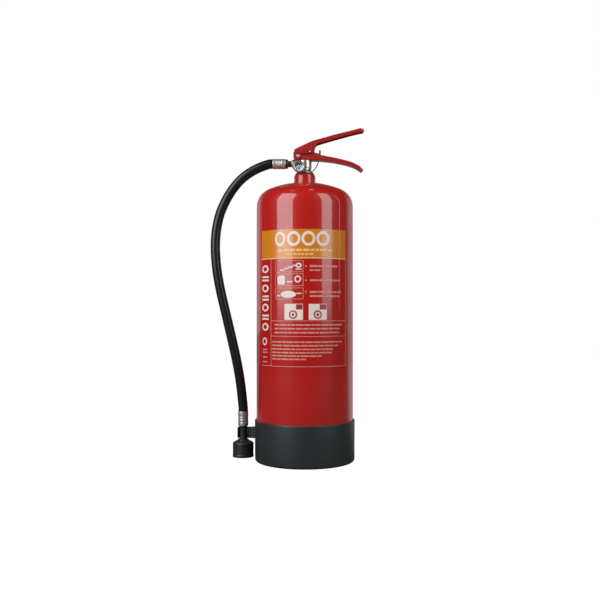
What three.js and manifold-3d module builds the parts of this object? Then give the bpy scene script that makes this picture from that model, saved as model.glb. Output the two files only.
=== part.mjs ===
// A free-standing nine-litre foam fire extinguisher with a gauge, a squeeze valve and a side hose.
// Units are millimetres, +Z is up, and the origin is on the vessel's axis at the floor.
// +X points from the valve towards the handle's grip, and -Y points to the labelled front.
import * as THREE from 'three';
import { mergeVertices } from 'three/addons/utils/BufferGeometryUtils.js';
import Module from 'manifold-3d';

const wasm = await Module();
wasm.setup();

// ---------------------------------------------------------------- driving dimensions
const fitGap = 0.3; // clearance between pieces that touch or slide
const sheet = 1.6; // pressed steel of the lever and handle

const vessel = {
  radius: 90,
  wall: 1.5,
  bottom: 8, // lowest point of the lower dome
  straight: 419.6, // length of the straight wall
  crownRadius: 180,
  knuckleRadius: 34,
  neckHole: 17.5,
};

const neck = {
  radius: 20,
  bore: 13.1,
  spigotLength: 6.5, // reach below the crown's apex
  height: 16, // top of the neck above the crown's apex
  edgeRound: 3.8,
  sealPocket: 2.3,
};

const foot = {
  wall: 3,
  height: 77,
  floor: 3,
  edgeRound: 5,
  lipRound: 1.4,
  draft: 0.6, // how much narrower the cup is at the floor
  ribs: 8,
  ribThickness: 2.4,
  ribInnerRadius: 58,
  drains: 4,
  drainRadius: 6,
  drainCircle: 46,
};

const cradle = {
  bottom: 42,
  height: 19.9,
  wall: 2.6,
  armReach: 6.5, // how far the two fingers run forward of the nozzle's axis
  webWidth: 13,
  flare: 3, // how much the web widens on each side where it meets the foot
};

const head = {
  radius: 12.8,
  waist: 12,
  flange: 15.5,
  flangeHeight: 2.9,
  flareHeight: 5,
  waistHeight: 2.6,
  step: 1.2, // height of the cone between the waist and the full width
  height: 25.4, // shoulder above the flange's underside
  spigotLength: 28,
  collar: 7, // round collar that the carry handle drops over
  collarHeight: 6.8,
  chamber: 8,
  throat: 4,
  seatDrop: 17.2, // seat below the shoulder
  throatLength: 4.5,
  upperChamber: 5.5,
  gland: 5,
  glandDepth: 7.8,
};

const outlet = {
  drop: 5.7, // axis below the valve's shoulder
  radius: 8.4,
  tipRadius: 6.85,
  reach: 24.4,
  tipLength: 2.2,
  bore: 4.6,
  boreDepth: 13, // how near the valve's axis the wide bore comes
  passage: 3,
};

const gauge = {
  x: -11,
  drop: 14.6, // axis below the valve's shoulder
  radius: 11,
  back: 18.2, // back of the case in front of the valve's axis
  depth: 10.1,
  wall: 1.2,
  skin: 0.6,
  nipple: 3.3,
  dialThickness: 0.5,
  glassThickness: 1.6,
  pivotDrop: 2,
  needleLength: 8.2,
};

const stem = { radius: 3, lowerGuide: 3.5, flange: 6.6 };
const spring = { meanRadius: 5.6, wire: 0.7, turns: 7 };
const dipTube = { radius: 6, wall: 1.2, bottom: 19 };

const pivot = { x: -12, rise: 7.33, radius: 2.5, headRadius: 3.3, headThickness: 1.4, ear: 4.6 };
const pin = { x: 9.4, rise: 15.36, radius: 1.6, tip: 14.8, ringPlane: 25.5, lug: 5, lugThickness: 1.8 };
const pullRing = { radius: 11.5, wire: 0.9 };
const strap = { section: 0.9, tagRadius: 1.6, tagLength: 8.5 };
const leverTravel = THREE.MathUtils.degToRad(9);
const leverHead = 25; // outside width of the lever's cheeks
const gripWidth = 20; // outside width of the lever's grip
const leverTip = 111.4;
const handleWidth = 20.4;
const handleTip = 109.4;

const hose = { radius: 9, sides: 10, steps: 36 };
const ferrule = { radius: 9.55, length: 23.5, bore: 5.3, grooves: 3 };
const nozzle = {
  gap: 2.1, // between the horn and the foot's wall
  stemRadius: 7.7,
  hornRadius: 19.6,
  hornTop: 39.8,
  hornShoulder: 30.4,
  hornBottom: 7,
  hornWall: 2,
  ferruleBottom: 64.5,
  ferruleLength: 26.8,
};

// ---------------------------------------------------------------- derived places
const domeHeight = domeApex(vessel.radius, vessel.crownRadius, vessel.knuckleRadius);
const lowerSeam = vessel.bottom + domeHeight; // where the lower dome meets the straight wall
const upperSeam = lowerSeam + vessel.straight;
const crownTop = upperSeam + domeHeight;
const neckTop = crownTop + neck.height;
const flangeFace = neckTop + fitGap; // underside of the valve's flange
const shoulder = flangeFace + head.height; // top face of the valve that the handle rests on
const outletZ = shoulder - outlet.drop;
const gaugeZ = shoulder - gauge.drop;
const seatZ = shoulder - head.seatDrop;
const footRadius = vessel.radius + fitGap + foot.wall;
const handleFloor = shoulder + fitGap; // underside of the carry handle's web
const pivotZ = shoulder + pivot.rise;
const pinZ = shoulder + pin.rise;
const nozzleX = -footRadius - nozzle.gap - nozzle.hornRadius;

// ---------------------------------------------------------------- geometry helpers
// Height of a torispherical dome above its seam.
function domeApex(radius, crown, knuckle) {
  return crown - Math.sqrt((crown - knuckle) ** 2 - (radius - knuckle) ** 2);
}

// Points of a torispherical dome from its seam at the wall up to its apex on the axis.
function domeProfile(radius, crown, knuckle, seam, up, steps) {
  const rise = Math.sqrt((crown - knuckle) ** 2 - (radius - knuckle) ** 2);
  const turn = Math.atan2(rise, radius - knuckle);
  const points = [];
  for (let i = 0; i <= steps; i++) {
    const angle = (turn * i) / steps;
    const x = radius - knuckle + knuckle * Math.cos(angle);
    points.push([x, seam + up * knuckle * Math.sin(angle)]);
  }
  for (let i = 1; i <= steps; i++) {
    const angle = turn + ((Math.PI / 2 - turn) * i) / steps;
    const x = i === steps ? 0 : crown * Math.cos(angle);
    points.push([x, seam + up * (crown * Math.sin(angle) - rise)]);
  }
  return points;
}

// A closed outline from [x, y, round] corners: a corner with a round becomes an arc.
function outline(corners, stepAngle = 24) {
  const points = [];
  corners.forEach(([x, y, round = 0], i) => {
    const corner = new THREE.Vector2(x, y);
    const [px, py] = corners[(i + corners.length - 1) % corners.length];
    const [nx, ny] = corners[(i + 1) % corners.length];
    const back = new THREE.Vector2(px, py).sub(corner).normalize();
    const on = new THREE.Vector2(nx, ny).sub(corner).normalize();
    const opening = Math.acos(THREE.MathUtils.clamp(back.dot(on), -1, 1));
    if (round === 0 || Math.PI - opening < 1e-4) {
      points.push(corner);
      return;
    }
    const centre = back.clone().add(on).normalize();
    centre.multiplyScalar(round / Math.sin(opening / 2)).add(corner);
    const start = back.multiplyScalar(round / Math.tan(opening / 2)).add(corner);
    const end = on.multiplyScalar(round / Math.tan(opening / 2)).add(corner);
    const from = start.sub(centre);
    const sweepAngle = Math.atan2(from.cross(end.sub(centre)), from.dot(end));
    const steps = Math.max(1, Math.round(Math.abs(sweepAngle) / THREE.MathUtils.degToRad(stepAngle)));
    for (let s = 0; s <= steps; s++) {
      const turned = from.clone().rotateAround(new THREE.Vector2(), (sweepAngle * s) / steps);
      points.push(turned.add(centre));
    }
  });
  return points;
}

// A closed triangle mesh as a solid that can be joined and cut.
function solid(geometry) {
  const bare = geometry.index ? geometry.toNonIndexed() : geometry.clone();
  bare.deleteAttribute('normal');
  bare.deleteAttribute('uv');
  const merged = mergeVertices(bare, 1e-4);
  const index = merged.index.array;
  const kept = [];
  for (let i = 0; i < index.length; i += 3) {
    const [a, b, c] = [index[i], index[i + 1], index[i + 2]];
    if (a !== b && b !== c && c !== a) kept.push(a, b, c);
  }
  return new wasm.Manifold(
    new wasm.Mesh({
      numProp: 3,
      vertProperties: merged.attributes.position.array,
      triVerts: new Uint32Array(kept),
    }),
  );
}

function geometryOf(body) {
  const mesh = body.getMesh();
  const geometry = new THREE.BufferGeometry();
  geometry.setAttribute('position', new THREE.BufferAttribute(mesh.vertProperties, 3));
  geometry.setIndex(new THREE.BufferAttribute(mesh.triVerts, 1));
  return geometry.toNonIndexed();
}

// How many sides stand for a circle of the given radius.
function sidesFor(radius) {
  return 4 * Math.round(1.6 + 1.15 * Math.sqrt(radius));
}

// A solid of revolution about +Z from [radius, height, round] corners, in any order of turning.
// A profile that leaves the axis and comes back to it is solid; any other one closes as a ring.
function revolve(corners, sides = 0) {
  const points = corners[0] instanceof THREE.Vector2 ? corners.slice() : outline(corners, 44);
  const segments = sides || sidesFor(Math.max(...points.map((p) => p.x)));
  const onAxis = points[0].x === 0 && points[points.length - 1].x === 0;
  if (THREE.ShapeUtils.area(points) < 0) points.reverse();
  if (!onAxis) points.push(points[0].clone());
  return solid(new THREE.LatheGeometry(points, segments).rotateX(Math.PI / 2));
}

function disc(radius, bottom, top) {
  return revolve([[0, bottom], [radius, bottom], [radius, top], [0, top]]);
}

function tube(inner, outer, bottom, top) {
  return revolve([[inner, bottom], [outer, bottom], [outer, top], [inner, top]]);
}

function oRing(radius, section, height, sides = 8) {
  const points = [];
  for (let i = 0; i < sides; i++) {
    const angle = (2 * Math.PI * i) / sides;
    points.push(new THREE.Vector2(radius + section * Math.cos(angle), height + section * Math.sin(angle)));
  }
  return revolve(points);
}

// The same solids with their axis along X or Y: heights are measured along that axis.
function moved(body, matrix) {
  return body.transform(matrix.toArray());
}

function alongX(body, y, z) {
  const matrix = new THREE.Matrix4().makeRotationY(Math.PI / 2);
  return moved(body, matrix.setPosition(0, y, z));
}

function alongY(body, x, z) {
  const matrix = new THREE.Matrix4().makeRotationX(-Math.PI / 2);
  return moved(body, matrix.setPosition(x, 0, z));
}

function at(body, x, y, z) {
  return moved(body, new THREE.Matrix4().makeTranslation(x, y, z));
}

// A plate with its outline in X and Z, centred on y.
function sidePlate(corners, width, y = 0) {
  const shape = new THREE.Shape(outline(corners));
  const geometry = new THREE.ExtrudeGeometry(shape, { depth: width, bevelEnabled: false });
  return solid(geometry.rotateX(Math.PI / 2).translate(0, y + width / 2, 0));
}

// A plate with its outline in X and Y, from bottom to top.
function planPlate(corners, bottom, top) {
  const shape = new THREE.Shape(outline(corners));
  const geometry = new THREE.ExtrudeGeometry(shape, { depth: top - bottom, bevelEnabled: false });
  return solid(geometry.translate(0, 0, bottom));
}

function sweep(curve, radius, sides, steps) {
  const ring = [];
  for (let i = 0; i < sides; i++) {
    const angle = (2 * Math.PI * i) / sides;
    ring.push(new THREE.Vector2(radius * Math.cos(angle), radius * Math.sin(angle)));
  }
  const options = { extrudePath: curve, steps, bevelEnabled: false };
  return solid(new THREE.ExtrudeGeometry(new THREE.Shape(ring), options));
}

const extinguisher = new THREE.Group();

function piece(name, body, look) {
  const material = new THREE.MeshStandardMaterial(look);
  const mesh = new THREE.Mesh(geometryOf(body), material);
  mesh.geometry.computeVertexNormals();
  mesh.name = name;
  extinguisher.add(mesh);
}

// ---------------------------------------------------------------- looks
const redPaint = { color: 0xa81a1c, roughness: 0.25, metalness: 0 };
const blackRubber = { color: 0x17181a, roughness: 0.6, metalness: 0 };
const blackPlastic = { color: 0x2b2d2f, roughness: 0.5, metalness: 0 };
const nickel = { color: 0xb8b4a8, roughness: 0.28, metalness: 1 };
const brass = { color: 0x8a7a4c, roughness: 0.35, metalness: 1 };
const zinc = { color: 0xb4b7ba, roughness: 0.3, metalness: 1 };
const steelWire = { color: 0x9a9c9e, roughness: 0.35, metalness: 1 };
const whitePlastic = { color: 0xe4e4e0, roughness: 0.4, metalness: 0 };
const clearGlass = { color: 0xf4f7f8, roughness: 0.05, metalness: 0, transparent: true, opacity: 0.35 };
const greyPlastic = { color: 0x6e665e, roughness: 0.5, metalness: 0 };

// ---------------------------------------------------------------- vessel, neck and foot
// The space inside the vessel's plates, each set in by the given amount.
function vesselForm(inset, steps = 4, sides = 0) {
  const radius = vessel.radius - inset;
  const crown = vessel.crownRadius - inset;
  const knuckle = vessel.knuckleRadius - inset;
  const upper = domeProfile(radius, crown, knuckle, upperSeam, 1, steps);
  const lower = domeProfile(radius, crown, knuckle, lowerSeam, -1, steps);
  const profile = [...lower.reverse(), ...upper];
  return revolve(profile.map(([x, z]) => new THREE.Vector2(x, z)), sides);
}

function cylinderShell() {
  const hole = disc(vessel.neckHole, crownTop - 20, crownTop + 5);
  return vesselForm(0).subtract(vesselForm(vessel.wall, 3, 32)).subtract(hole);
}

// Height of the crown's outside at a radius near the axis.
function crownHeight(radius) {
  return crownTop - vessel.crownRadius + Math.sqrt(vessel.crownRadius ** 2 - radius ** 2);
}

function neckRing() {
  const spigot = vessel.neckHole - fitGap;
  const pocket = neck.bore + neck.sealPocket;
  const pocketFloor = neckTop - neck.sealPocket;
  return revolve(
    [
      [neck.bore, crownTop - neck.spigotLength, 0.6],
      [spigot, crownTop - neck.spigotLength, 0.8],
      [spigot, crownHeight(spigot) + fitGap],
      [neck.radius, crownHeight(neck.radius) + fitGap],
      [neck.radius, neckTop, neck.edgeRound],
      [pocket, neckTop],
      [pocket, pocketFloor],
      [neck.bore, pocketFloor],
    ],
  );
}

function neckSeal() {
  const section = (neck.sealPocket - fitGap) / 2;
  return oRing(neck.bore + section, section, neckTop - section);
}

// The cup that the vessel stands in, with ribs under the dome and the nozzle's cradle at its side.
function baseFoot() {
  const inside = vessel.radius + fitGap;
  const cup = revolve(
    [
      [0, 0],
      [footRadius - foot.draft, 0, foot.edgeRound],
      [footRadius, foot.height, foot.lipRound],
      [inside, foot.height, foot.lipRound],
      [inside, foot.floor, 3],
      [0, foot.floor],
    ],
  );
  const cavity = disc(inside, foot.floor, foot.height + 1);
  let body = cup.add(cradleArm().subtract(cavity));
  const room = vesselForm(-fitGap);
  for (let i = 0; i < foot.ribs; i++) {
    const length = inside + foot.wall / 2 - foot.ribInnerRadius;
    const rib = new THREE.BoxGeometry(length, foot.ribThickness, lowerSeam - foot.floor + 0.5);
    rib.translate(foot.ribInnerRadius + length / 2, 0, (lowerSeam + foot.floor - 0.5) / 2);
    rib.rotateZ((2 * Math.PI * (i + 0.5)) / foot.ribs);
    body = body.add(solid(rib).subtract(room));
  }
  for (let i = 0; i < foot.drains; i++) {
    const angle = (2 * Math.PI * i) / foot.drains;
    const x = foot.drainCircle * Math.cos(angle);
    const y = foot.drainCircle * Math.sin(angle);
    body = body.subtract(at(disc(foot.drainRadius, -1, foot.floor + 1), x, y, 0));
  }
  return body;
}

// A fork that is open to the front, on a short web that stands out of the foot.
function cradleArm() {
  const inner = nozzle.stemRadius + fitGap;
  const outer = inner + cradle.wall;
  const top = cradle.bottom + cradle.height;
  const finger = (cradle.wall / 2) * 0.98;
  const fork = planPlate(
    [
      [nozzleX - outer, -cradle.armReach, finger],
      [nozzleX - outer, outer, outer * 0.999],
      [nozzleX + outer, outer, outer * 0.999],
      [nozzleX + outer, -cradle.armReach, finger],
      [nozzleX + inner, -cradle.armReach, finger],
      [nozzleX + inner, inner, inner * 0.999],
      [nozzleX - inner, inner, inner * 0.999],
      [nozzleX - inner, -cradle.armReach, finger],
    ],
    cradle.bottom,
    top,
  );
  const webFrom = -vessel.radius;
  const webTo = nozzleX + outer - 0.8;
  const half = cradle.webWidth / 2;
  const web = planPlate(
    [
      [webTo, -half + 1],
      [webFrom - 5, -half, 4],
      [webFrom, -half - cradle.flare],
      [webFrom, half + cradle.flare],
      [webFrom - 5, half, 4],
      [webTo, half - 1],
    ],
    cradle.bottom,
    top,
  );
  const stemRoom = at(disc(inner, cradle.bottom - 1, top + 1), nozzleX, 0, 0);
  return fork.add(web.subtract(stemRoom));
}

// ---------------------------------------------------------------- valve head
function valveBody() {
  const flangeTop = flangeFace + head.flangeHeight;
  const flareTop = flangeTop + head.flareHeight;
  const waistTop = flareTop + head.waistHeight;
  const collarTop = shoulder + head.collarHeight;
  const outside = revolve(
    [
      [0, flangeFace - head.spigotLength],
      [neck.bore - fitGap, flangeFace - head.spigotLength, 1],
      [neck.bore - fitGap, flangeFace],
      [head.flange, flangeFace, 0.5],
      [head.flange, flangeTop, 0.8],
      [head.waist, flareTop, 3],
      [head.waist, waistTop, 1],
      [head.radius, waistTop + head.step, 0.8],
      [head.radius, shoulder, 0.6],
      [head.collar, shoulder],
      [head.collar, collarTop, 0.6],
      [0, collarTop],
    ],
  );
  const outletBoss = revolve(
    [
      [0, -outlet.reach],
      [outlet.tipRadius, -outlet.reach, 0.6],
      [outlet.tipRadius, -outlet.reach + 0.6],
      [outlet.radius, -outlet.reach + outlet.tipLength, 0.8],
      [outlet.radius, -head.chamber - 1.6],
      [0, -head.chamber - 1.6],
    ],
  );
  const gaugeBoss = revolve(
    [[0, -gauge.back + 2.6], [5.6, -gauge.back + 2.6, 0.8], [6.4, -2], [0, -2]],
  );
  return outside
    .add(alongX(outletBoss, 0, outletZ))
    .add(alongY(gaugeBoss, gauge.x, gaugeZ))
    .subtract(valveBore())
    .subtract(alongX(disc(outlet.bore, -outlet.reach - 1, -outlet.boreDepth), 0, outletZ))
    .subtract(alongX(disc(outlet.passage, -outlet.boreDepth - 1, 0), 0, outletZ))
    .subtract(alongY(disc(gauge.nipple + fitGap, -gauge.back, -6.5), gauge.x, gaugeZ))
    .subtract(clipGroove());
}

// The stepped bore, from the spring chamber at the bottom to the gland at the top.
function valveBore() {
  const bottom = flangeFace - head.spigotLength - 1;
  const collarTop = shoulder + head.collarHeight;
  const glandFloor = collarTop - head.glandDepth;
  const upperRoof = glandFloor - 2;
  const throatTop = seatZ + head.throatLength;
  return revolve(
    [
      [0, bottom],
      [head.chamber, bottom],
      [head.chamber, seatZ],
      [head.throat, seatZ],
      [head.throat, throatTop],
      [head.upperChamber, throatTop + 1],
      [head.upperChamber, upperRoof],
      [stem.radius + fitGap, upperRoof],
      [stem.radius + fitGap, glandFloor],
      [head.gland, glandFloor],
      [head.gland, collarTop + 1],
      [0, collarTop + 1],
    ],
  );
}

const clip = { thickness: 1.2, inner: 6.5, outer: 8.2 };

function clipBottom() {
  return handleFloor + sheet + fitGap;
}

function clipGroove() {
  const bottom = clipBottom() - fitGap;
  return tube(clip.inner, head.radius, bottom, bottom + clip.thickness + 2 * fitGap);
}

// A snap ring that holds the carry handle down on the valve's collar.
function handleClip() {
  const ring = tube(clip.inner + fitGap, clip.outer, clipBottom(), clipBottom() + clip.thickness);
  const gap = new THREE.BoxGeometry(6, 5, 4);
  gap.translate(0, clip.outer, clipBottom());
  return ring.subtract(solid(gap));
}

function stemGland() {
  const collarTop = shoulder + head.collarHeight;
  const bottom = collarTop - head.glandDepth + 2;
  const face = collarTop + fitGap;
  const inner = stem.radius + fitGap;
  const body = revolve(
    [
      [inner, bottom],
      [head.gland - fitGap, bottom],
      [head.gland - fitGap, face],
      [6, face],
      [6, face + 1.7, 0.5],
      [inner, face + 1.7],
    ],
  );
  const slot = new THREE.BoxGeometry(14, 1.5, 2);
  slot.translate(0, 0, face + 1.9);
  return body.subtract(solid(slot));
}

function stemSeal() {
  const section = (head.gland - stem.radius - 2 * fitGap) / 2;
  const floor = shoulder + head.collarHeight - head.glandDepth;
  return oRing(stem.radius + fitGap + section, section, floor + fitGap + section);
}

// The lever's top rises from its heel to its bend, and the stem's dome touches its underside.
const leverWeb = sheet + 0.2;
const heel = new THREE.Vector2(-18.8, shoulder + 20.53);
const bend = new THREE.Vector2(10.5, shoulder + 34.33);
const leverSlope = bend.clone().sub(heel).angle();
const leverUnderside = heel.y - heel.x * Math.tan(leverSlope) - leverWeb / Math.cos(leverSlope);
const stemDome = leverUnderside - (stem.radius + fitGap) / Math.cos(leverSlope);
const discThickness = 3;
const carrierThickness = 2.4;
const carrierTop = seatZ - 2 * fitGap - discThickness;
const springTop = carrierTop - carrierThickness - fitGap;
const springBottom = flangeFace - head.spigotLength + 6;

function valveStem() {
  const dome = [];
  const domeSteps = 5;
  for (let i = 0; i <= domeSteps; i++) {
    const angle = ((Math.PI / 2) * i) / domeSteps;
    const x = i === domeSteps ? 0 : stem.radius * Math.cos(angle);
    dome.push([x, stemDome + stem.radius * Math.sin(angle)]);
  }
  return revolve(
    [
      [0, springBottom + 8],
      [stem.lowerGuide, springBottom + 8, 0.5],
      [stem.lowerGuide, carrierTop - carrierThickness],
      [stem.flange, carrierTop - carrierThickness],
      [stem.flange, carrierTop],
      [2, carrierTop],
      [2, carrierTop + discThickness + 1],
      [stem.radius, carrierTop + discThickness + 2.5],
      ...dome,
    ],
  );
}

function seatDisc() {
  const bottom = carrierTop + fitGap;
  return tube(2 + fitGap, stem.flange, bottom, bottom + discThickness - fitGap);
}

class Helix extends THREE.Curve {
  constructor(radius, bottom, top, turns) {
    super();
    Object.assign(this, { radius, bottom, top, turns });
  }

  getPoint(t, target = new THREE.Vector3()) {
    const angle = 2 * Math.PI * this.turns * t;
    const height = this.bottom + (this.top - this.bottom) * t;
    return target.set(this.radius * Math.cos(angle), this.radius * Math.sin(angle), height);
  }
}

function valveSpring() {
  const lift = spring.wire * 1.15;
  const curve = new Helix(spring.meanRadius, springBottom + fitGap + lift, springTop - lift, spring.turns);
  const perTurn = 8;
  const points = curve.getPoints(spring.turns * perTurn * 4);
  let least = Infinity;
  points.forEach((p, i) => {
    for (let j = i + perTurn * 2; j < points.length; j++) least = Math.min(least, p.distanceTo(points[j]));
  });
  console.log('least gap between the valve spring\'s turns, mm:', (least - 2 * spring.wire).toFixed(2));
  return sweep(curve, spring.wire, 5, spring.turns * perTurn);
}

// The nut that closes the spring chamber and holds the dip tube.
function tubeNut() {
  const spigotBottom = flangeFace - head.spigotLength;
  const socket = dipTube.radius + fitGap;
  const bore = dipTube.radius - dipTube.wall;
  return revolve(
    [
      [socket, spigotBottom - 9, 0],
      [neck.bore - 2, spigotBottom - 9, 1],
      [neck.bore - 2, spigotBottom - fitGap],
      [head.chamber - fitGap, spigotBottom - fitGap],
      [head.chamber - fitGap, springBottom],
      [bore, springBottom],
      [bore, spigotBottom + 1],
      [socket, spigotBottom + 1],
    ],
  );
}

function dipTubePiece() {
  const top = flangeFace - head.spigotLength + 1 - fitGap;
  return tube(dipTube.radius - dipTube.wall, dipTube.radius, dipTube.bottom, top);
}

// A slotted cup pushed over the dip tube's lower end.
function tubeStrainer() {
  const inner = dipTube.radius + fitGap;
  const outer = inner + 1.4;
  const bottom = dipTube.bottom - 5;
  let cup = revolve(
    [
      [0, bottom],
      [outer, bottom, 1],
      [outer, dipTube.bottom + 12],
      [inner, dipTube.bottom + 12],
      [inner, dipTube.bottom - fitGap],
      [inner - 2, dipTube.bottom - fitGap],
      [inner - 2, bottom + 1.4],
      [0, bottom + 1.4],
    ],
  );
  const slots = 3;
  for (let i = 0; i < slots; i++) {
    const slot = new THREE.BoxGeometry(2 * outer + 2, 1.6, 2.2);
    slot.rotateZ((Math.PI * i) / slots);
    slot.translate(0, 0, bottom + 2.8);
    cup = cup.subtract(solid(slot));
  }
  return cup;
}

// ---------------------------------------------------------------- gauge
// Places along the gauge's axis, counted forward from the back of its case.
const caseRadius = gauge.radius - gauge.skin - fitGap;
const cavityRadius = caseRadius - gauge.wall;
const frontFace = -gauge.back - gauge.depth;
const glassFront = frontFace + 1 + fitGap;
const dialBack = -gauge.back - 1.8;

function gaugeCase() {
  const rim = glassFront + 0.2;
  return alongY(
    revolve(
      [
        [0, -7],
        [gauge.nipple, -7],
        [gauge.nipple, -gauge.back + 1.8],
        [5.2, -gauge.back + 1.8, 0.4],
        [5.2, -gauge.back],
        [caseRadius, -gauge.back, 1.4],
        [caseRadius, rim],
        [cavityRadius, rim],
        [cavityRadius, dialBack],
        [0, dialBack],
      ],
    ),
    gauge.x,
    gaugeZ,
  );
}

function gaugeDial() {
  const back = dialBack - fitGap;
  return alongY(disc(cavityRadius - fitGap, back - gauge.dialThickness, back), gauge.x, gaugeZ);
}

function gaugeNeedle() {
  const front = dialBack - 2 * fitGap - gauge.dialThickness;
  const pivotZ = gaugeZ - gauge.pivotDrop;
  const hub = alongY(disc(1.3, front - 1, front), gauge.x, pivotZ);
  const blade = sidePlate(
    [
      [gauge.x - 0.9, pivotZ - 3, 0.3],
      [gauge.x + 0.9, pivotZ - 3, 0.3],
      [gauge.x + 0.2, pivotZ + gauge.needleLength],
      [gauge.x - 0.2, pivotZ + gauge.needleLength],
    ],
    0.5,
    front - 0.35,
  );
  return hub.add(blade);
}

function gaugeLens() {
  return alongY(
    disc(cavityRadius - fitGap, glassFront, glassFront + gauge.glassThickness),
    gauge.x,
    gaugeZ,
  );
}

function gaugeBezel() {
  return alongY(
    revolve(
      [
        [cavityRadius - 0.7, frontFace, 0.3],
        [gauge.radius, frontFace, 0.8],
        [gauge.radius, frontFace + 5.2],
        [caseRadius + fitGap, frontFace + 5.2],
        [caseRadius + fitGap, frontFace + 1],
        [cavityRadius - 0.7, frontFace + 1],
      ],
    ),
    gauge.x,
    gaugeZ,
  );
}

// ---------------------------------------------------------------- lever, handle and pin
// Points of an outline whose heights are counted from the valve's shoulder.
function aboveValve(corners) {
  return corners.map(([x, height, round = 0]) => [x, shoulder + height, round]);
}

// Top edge of the lever's grip, from the bend to the tip.
const leverTop = aboveValve([
  [22, 38.33, 60],
  [54.1, 47.7],
  [82.6, 54.6],
  [103, 60],
]);

// Side outline of the lever: a rising grip, a deep head and a lobe that reaches down to the pivot.
const leverSide = [
  [heel.x, heel.y, 2.5],
  [bend.x, bend.y, 26],
  ...leverTop,
  ...aboveValve([
    [leverTip, 58.9, 3],
    [leverTip - 0.6, 53.4, 3],
    [104, 53, 8],
    [83.8, 47.9],
    [54.9, 39.9],
    [23.1, 30.7, 3],
    [19.8, 26.8, 4],
    [17, 12.9, 1.8],
    [-7.4, 11.3, 2],
    [-7.9, -1.1, 5.5],
    [-18.4, -1.1, 4.5],
    [-21.9, 11.3, 5],
  ]),
];

// Plan outline of the lever, set in by the thickness of its cheeks where it is the hollow's.
function leverPlan(inset, back) {
  const half = leverHead / 2 - inset;
  const grip = gripWidth / 2 - inset;
  return [
    [back, -half],
    [17, -half, 14],
    [31, -grip, 14],
    [leverTip - inset, -grip, 7 - inset],
    [leverTip - inset, grip, 7 - inset],
    [31, grip, 14],
    [17, half, 14],
    [back, half],
  ];
}

function squeezeLever() {
  const low = shoulder - 30;
  const high = shoulder + 80;
  const outside = sidePlate(leverSide, leverHead + 2).intersect(planPlate(leverPlan(0, -30), low, high));
  const start = bend.x + 0.2;
  const hollowSide = [
    [-40, leverUnderside - 40 * Math.tan(leverSlope)],
    [start, leverUnderside + start * Math.tan(leverSlope), 24],
    ...leverTop.map(([x, z, round]) => [x + 0.3, z - leverWeb, round]),
    [leverTip + 2, leverTop[3][1] - leverWeb - 3],
    [leverTip + 2, low],
    [-40, low],
  ];
  const hollow = sidePlate(hollowSide, leverHead).intersect(planPlate(leverPlan(sheet, -45), low, high));
  return outside
    .subtract(hollow)
    .subtract(alongY(disc(pivot.radius + fitGap, -20, 20), pivot.x, pivotZ))
    .subtract(alongY(disc(pin.radius + fitGap, -20, 20), pin.x, pinZ));
}

// Underside of the carry handle's grip, from the tip back to the seat.
const gripUnder = aboveValve([
  [97.8, -15.2, 16],
  [85.7, -9.3, 50],
  [54.9, -2.7],
]);

// Side outline of the carry handle: a flat seat over the valve and a grip that curls down.
const handleSide = [
  [pivot.x - pivot.ear, pivotZ + pivot.ear, 4.5],
  ...aboveValve([
    [pivot.x + 3, 13.3, 6],
    [17.2, 14.7, 8],
    [26.4, 12.7, 5],
    [31.3, 9.5, 9],
    [56.1, 4.9],
    [85.6, -2.2, 50],
    [102, -10.4, 12],
    [handleTip, -16.9, 2.2],
    [handleTip - 1.4, -20.6, 1.4],
    [handleTip - 3.6, -20.8, 1.4],
  ]),
  ...gripUnder,
  [28, handleFloor, 14],
  [pivot.x + 3, handleFloor, 2],
  [pivot.x + 2, pivotZ - pivot.ear, 1],
  [pivot.x - pivot.ear, pivotZ - pivot.ear, 4.5],
];

function handlePlan(inset, back) {
  const half = handleWidth / 2 - inset;
  return [
    [back, -half],
    [handleTip - inset, -half, 7 - inset],
    [handleTip - inset, half, 7 - inset],
    [back, half],
  ];
}

function carryHandle() {
  const low = shoulder - 40;
  const high = shoulder + 40;
  const outside = sidePlate(handleSide, handleWidth + 2).intersect(planPlate(handlePlan(0, -30), low, high));
  const hollowSide = [
    [-40, handleFloor + sheet],
    [28, handleFloor + sheet, 14],
    ...gripUnder.map(([x, z, round]) => [x + 0.4, z + sheet, round]).reverse(),
    [handleTip - 3.4, shoulder - 20.8 + sheet, 1],
    [handleTip + 3, shoulder - 16],
    [handleTip + 3, high],
    [-40, high],
  ];
  const hollow = sidePlate(hollowSide, handleWidth).intersect(planPlate(handlePlan(sheet, -45), low, high));
  const openBack = new THREE.BoxGeometry(20, handleWidth - 2 * sheet, 30);
  openBack.translate(-head.collar - 1.8 - 10, 0, handleFloor + 5);
  return outside
    .subtract(hollow)
    .subtract(solid(openBack))
    .subtract(disc(head.collar + fitGap, low, high))
    .subtract(pinSlot())
    .subtract(alongY(disc(pivot.radius + fitGap, -20, 20), pivot.x, pivotZ));
}

// The open slot in both cheeks that the safety pin drops into when the lever is squeezed.
function pinSlot() {
  const reach = pin.radius + fitGap + 0.1;
  const arm = new THREE.Vector2(pin.x - pivot.x, pin.rise - pivot.rise);
  const squeezed = arm.clone().rotateAround(new THREE.Vector2(), -leverTravel);
  const left = pin.x - reach;
  const right = pivot.x + squeezed.x + reach;
  const bottom = pivotZ + squeezed.y - reach - 0.5;
  const top = pinZ + 10;
  return sidePlate([[left, bottom, 0.4], [right, bottom, 0.4], [right, top], [left, top]], 30);
}

function leverRivet() {
  const cheek = leverHead / 2 + fitGap;
  const end = cheek + pivot.headThickness;
  return alongY(
    revolve(
      [
        [0, -end],
        [pivot.headRadius, -end, 1],
        [pivot.headRadius, -cheek],
        [pivot.radius, -cheek],
        [pivot.radius, cheek],
        [pivot.headRadius, cheek],
        [pivot.headRadius, end, 1],
        [0, end],
      ],
    ),
    pivot.x,
    pivotZ,
  );
}

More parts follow.
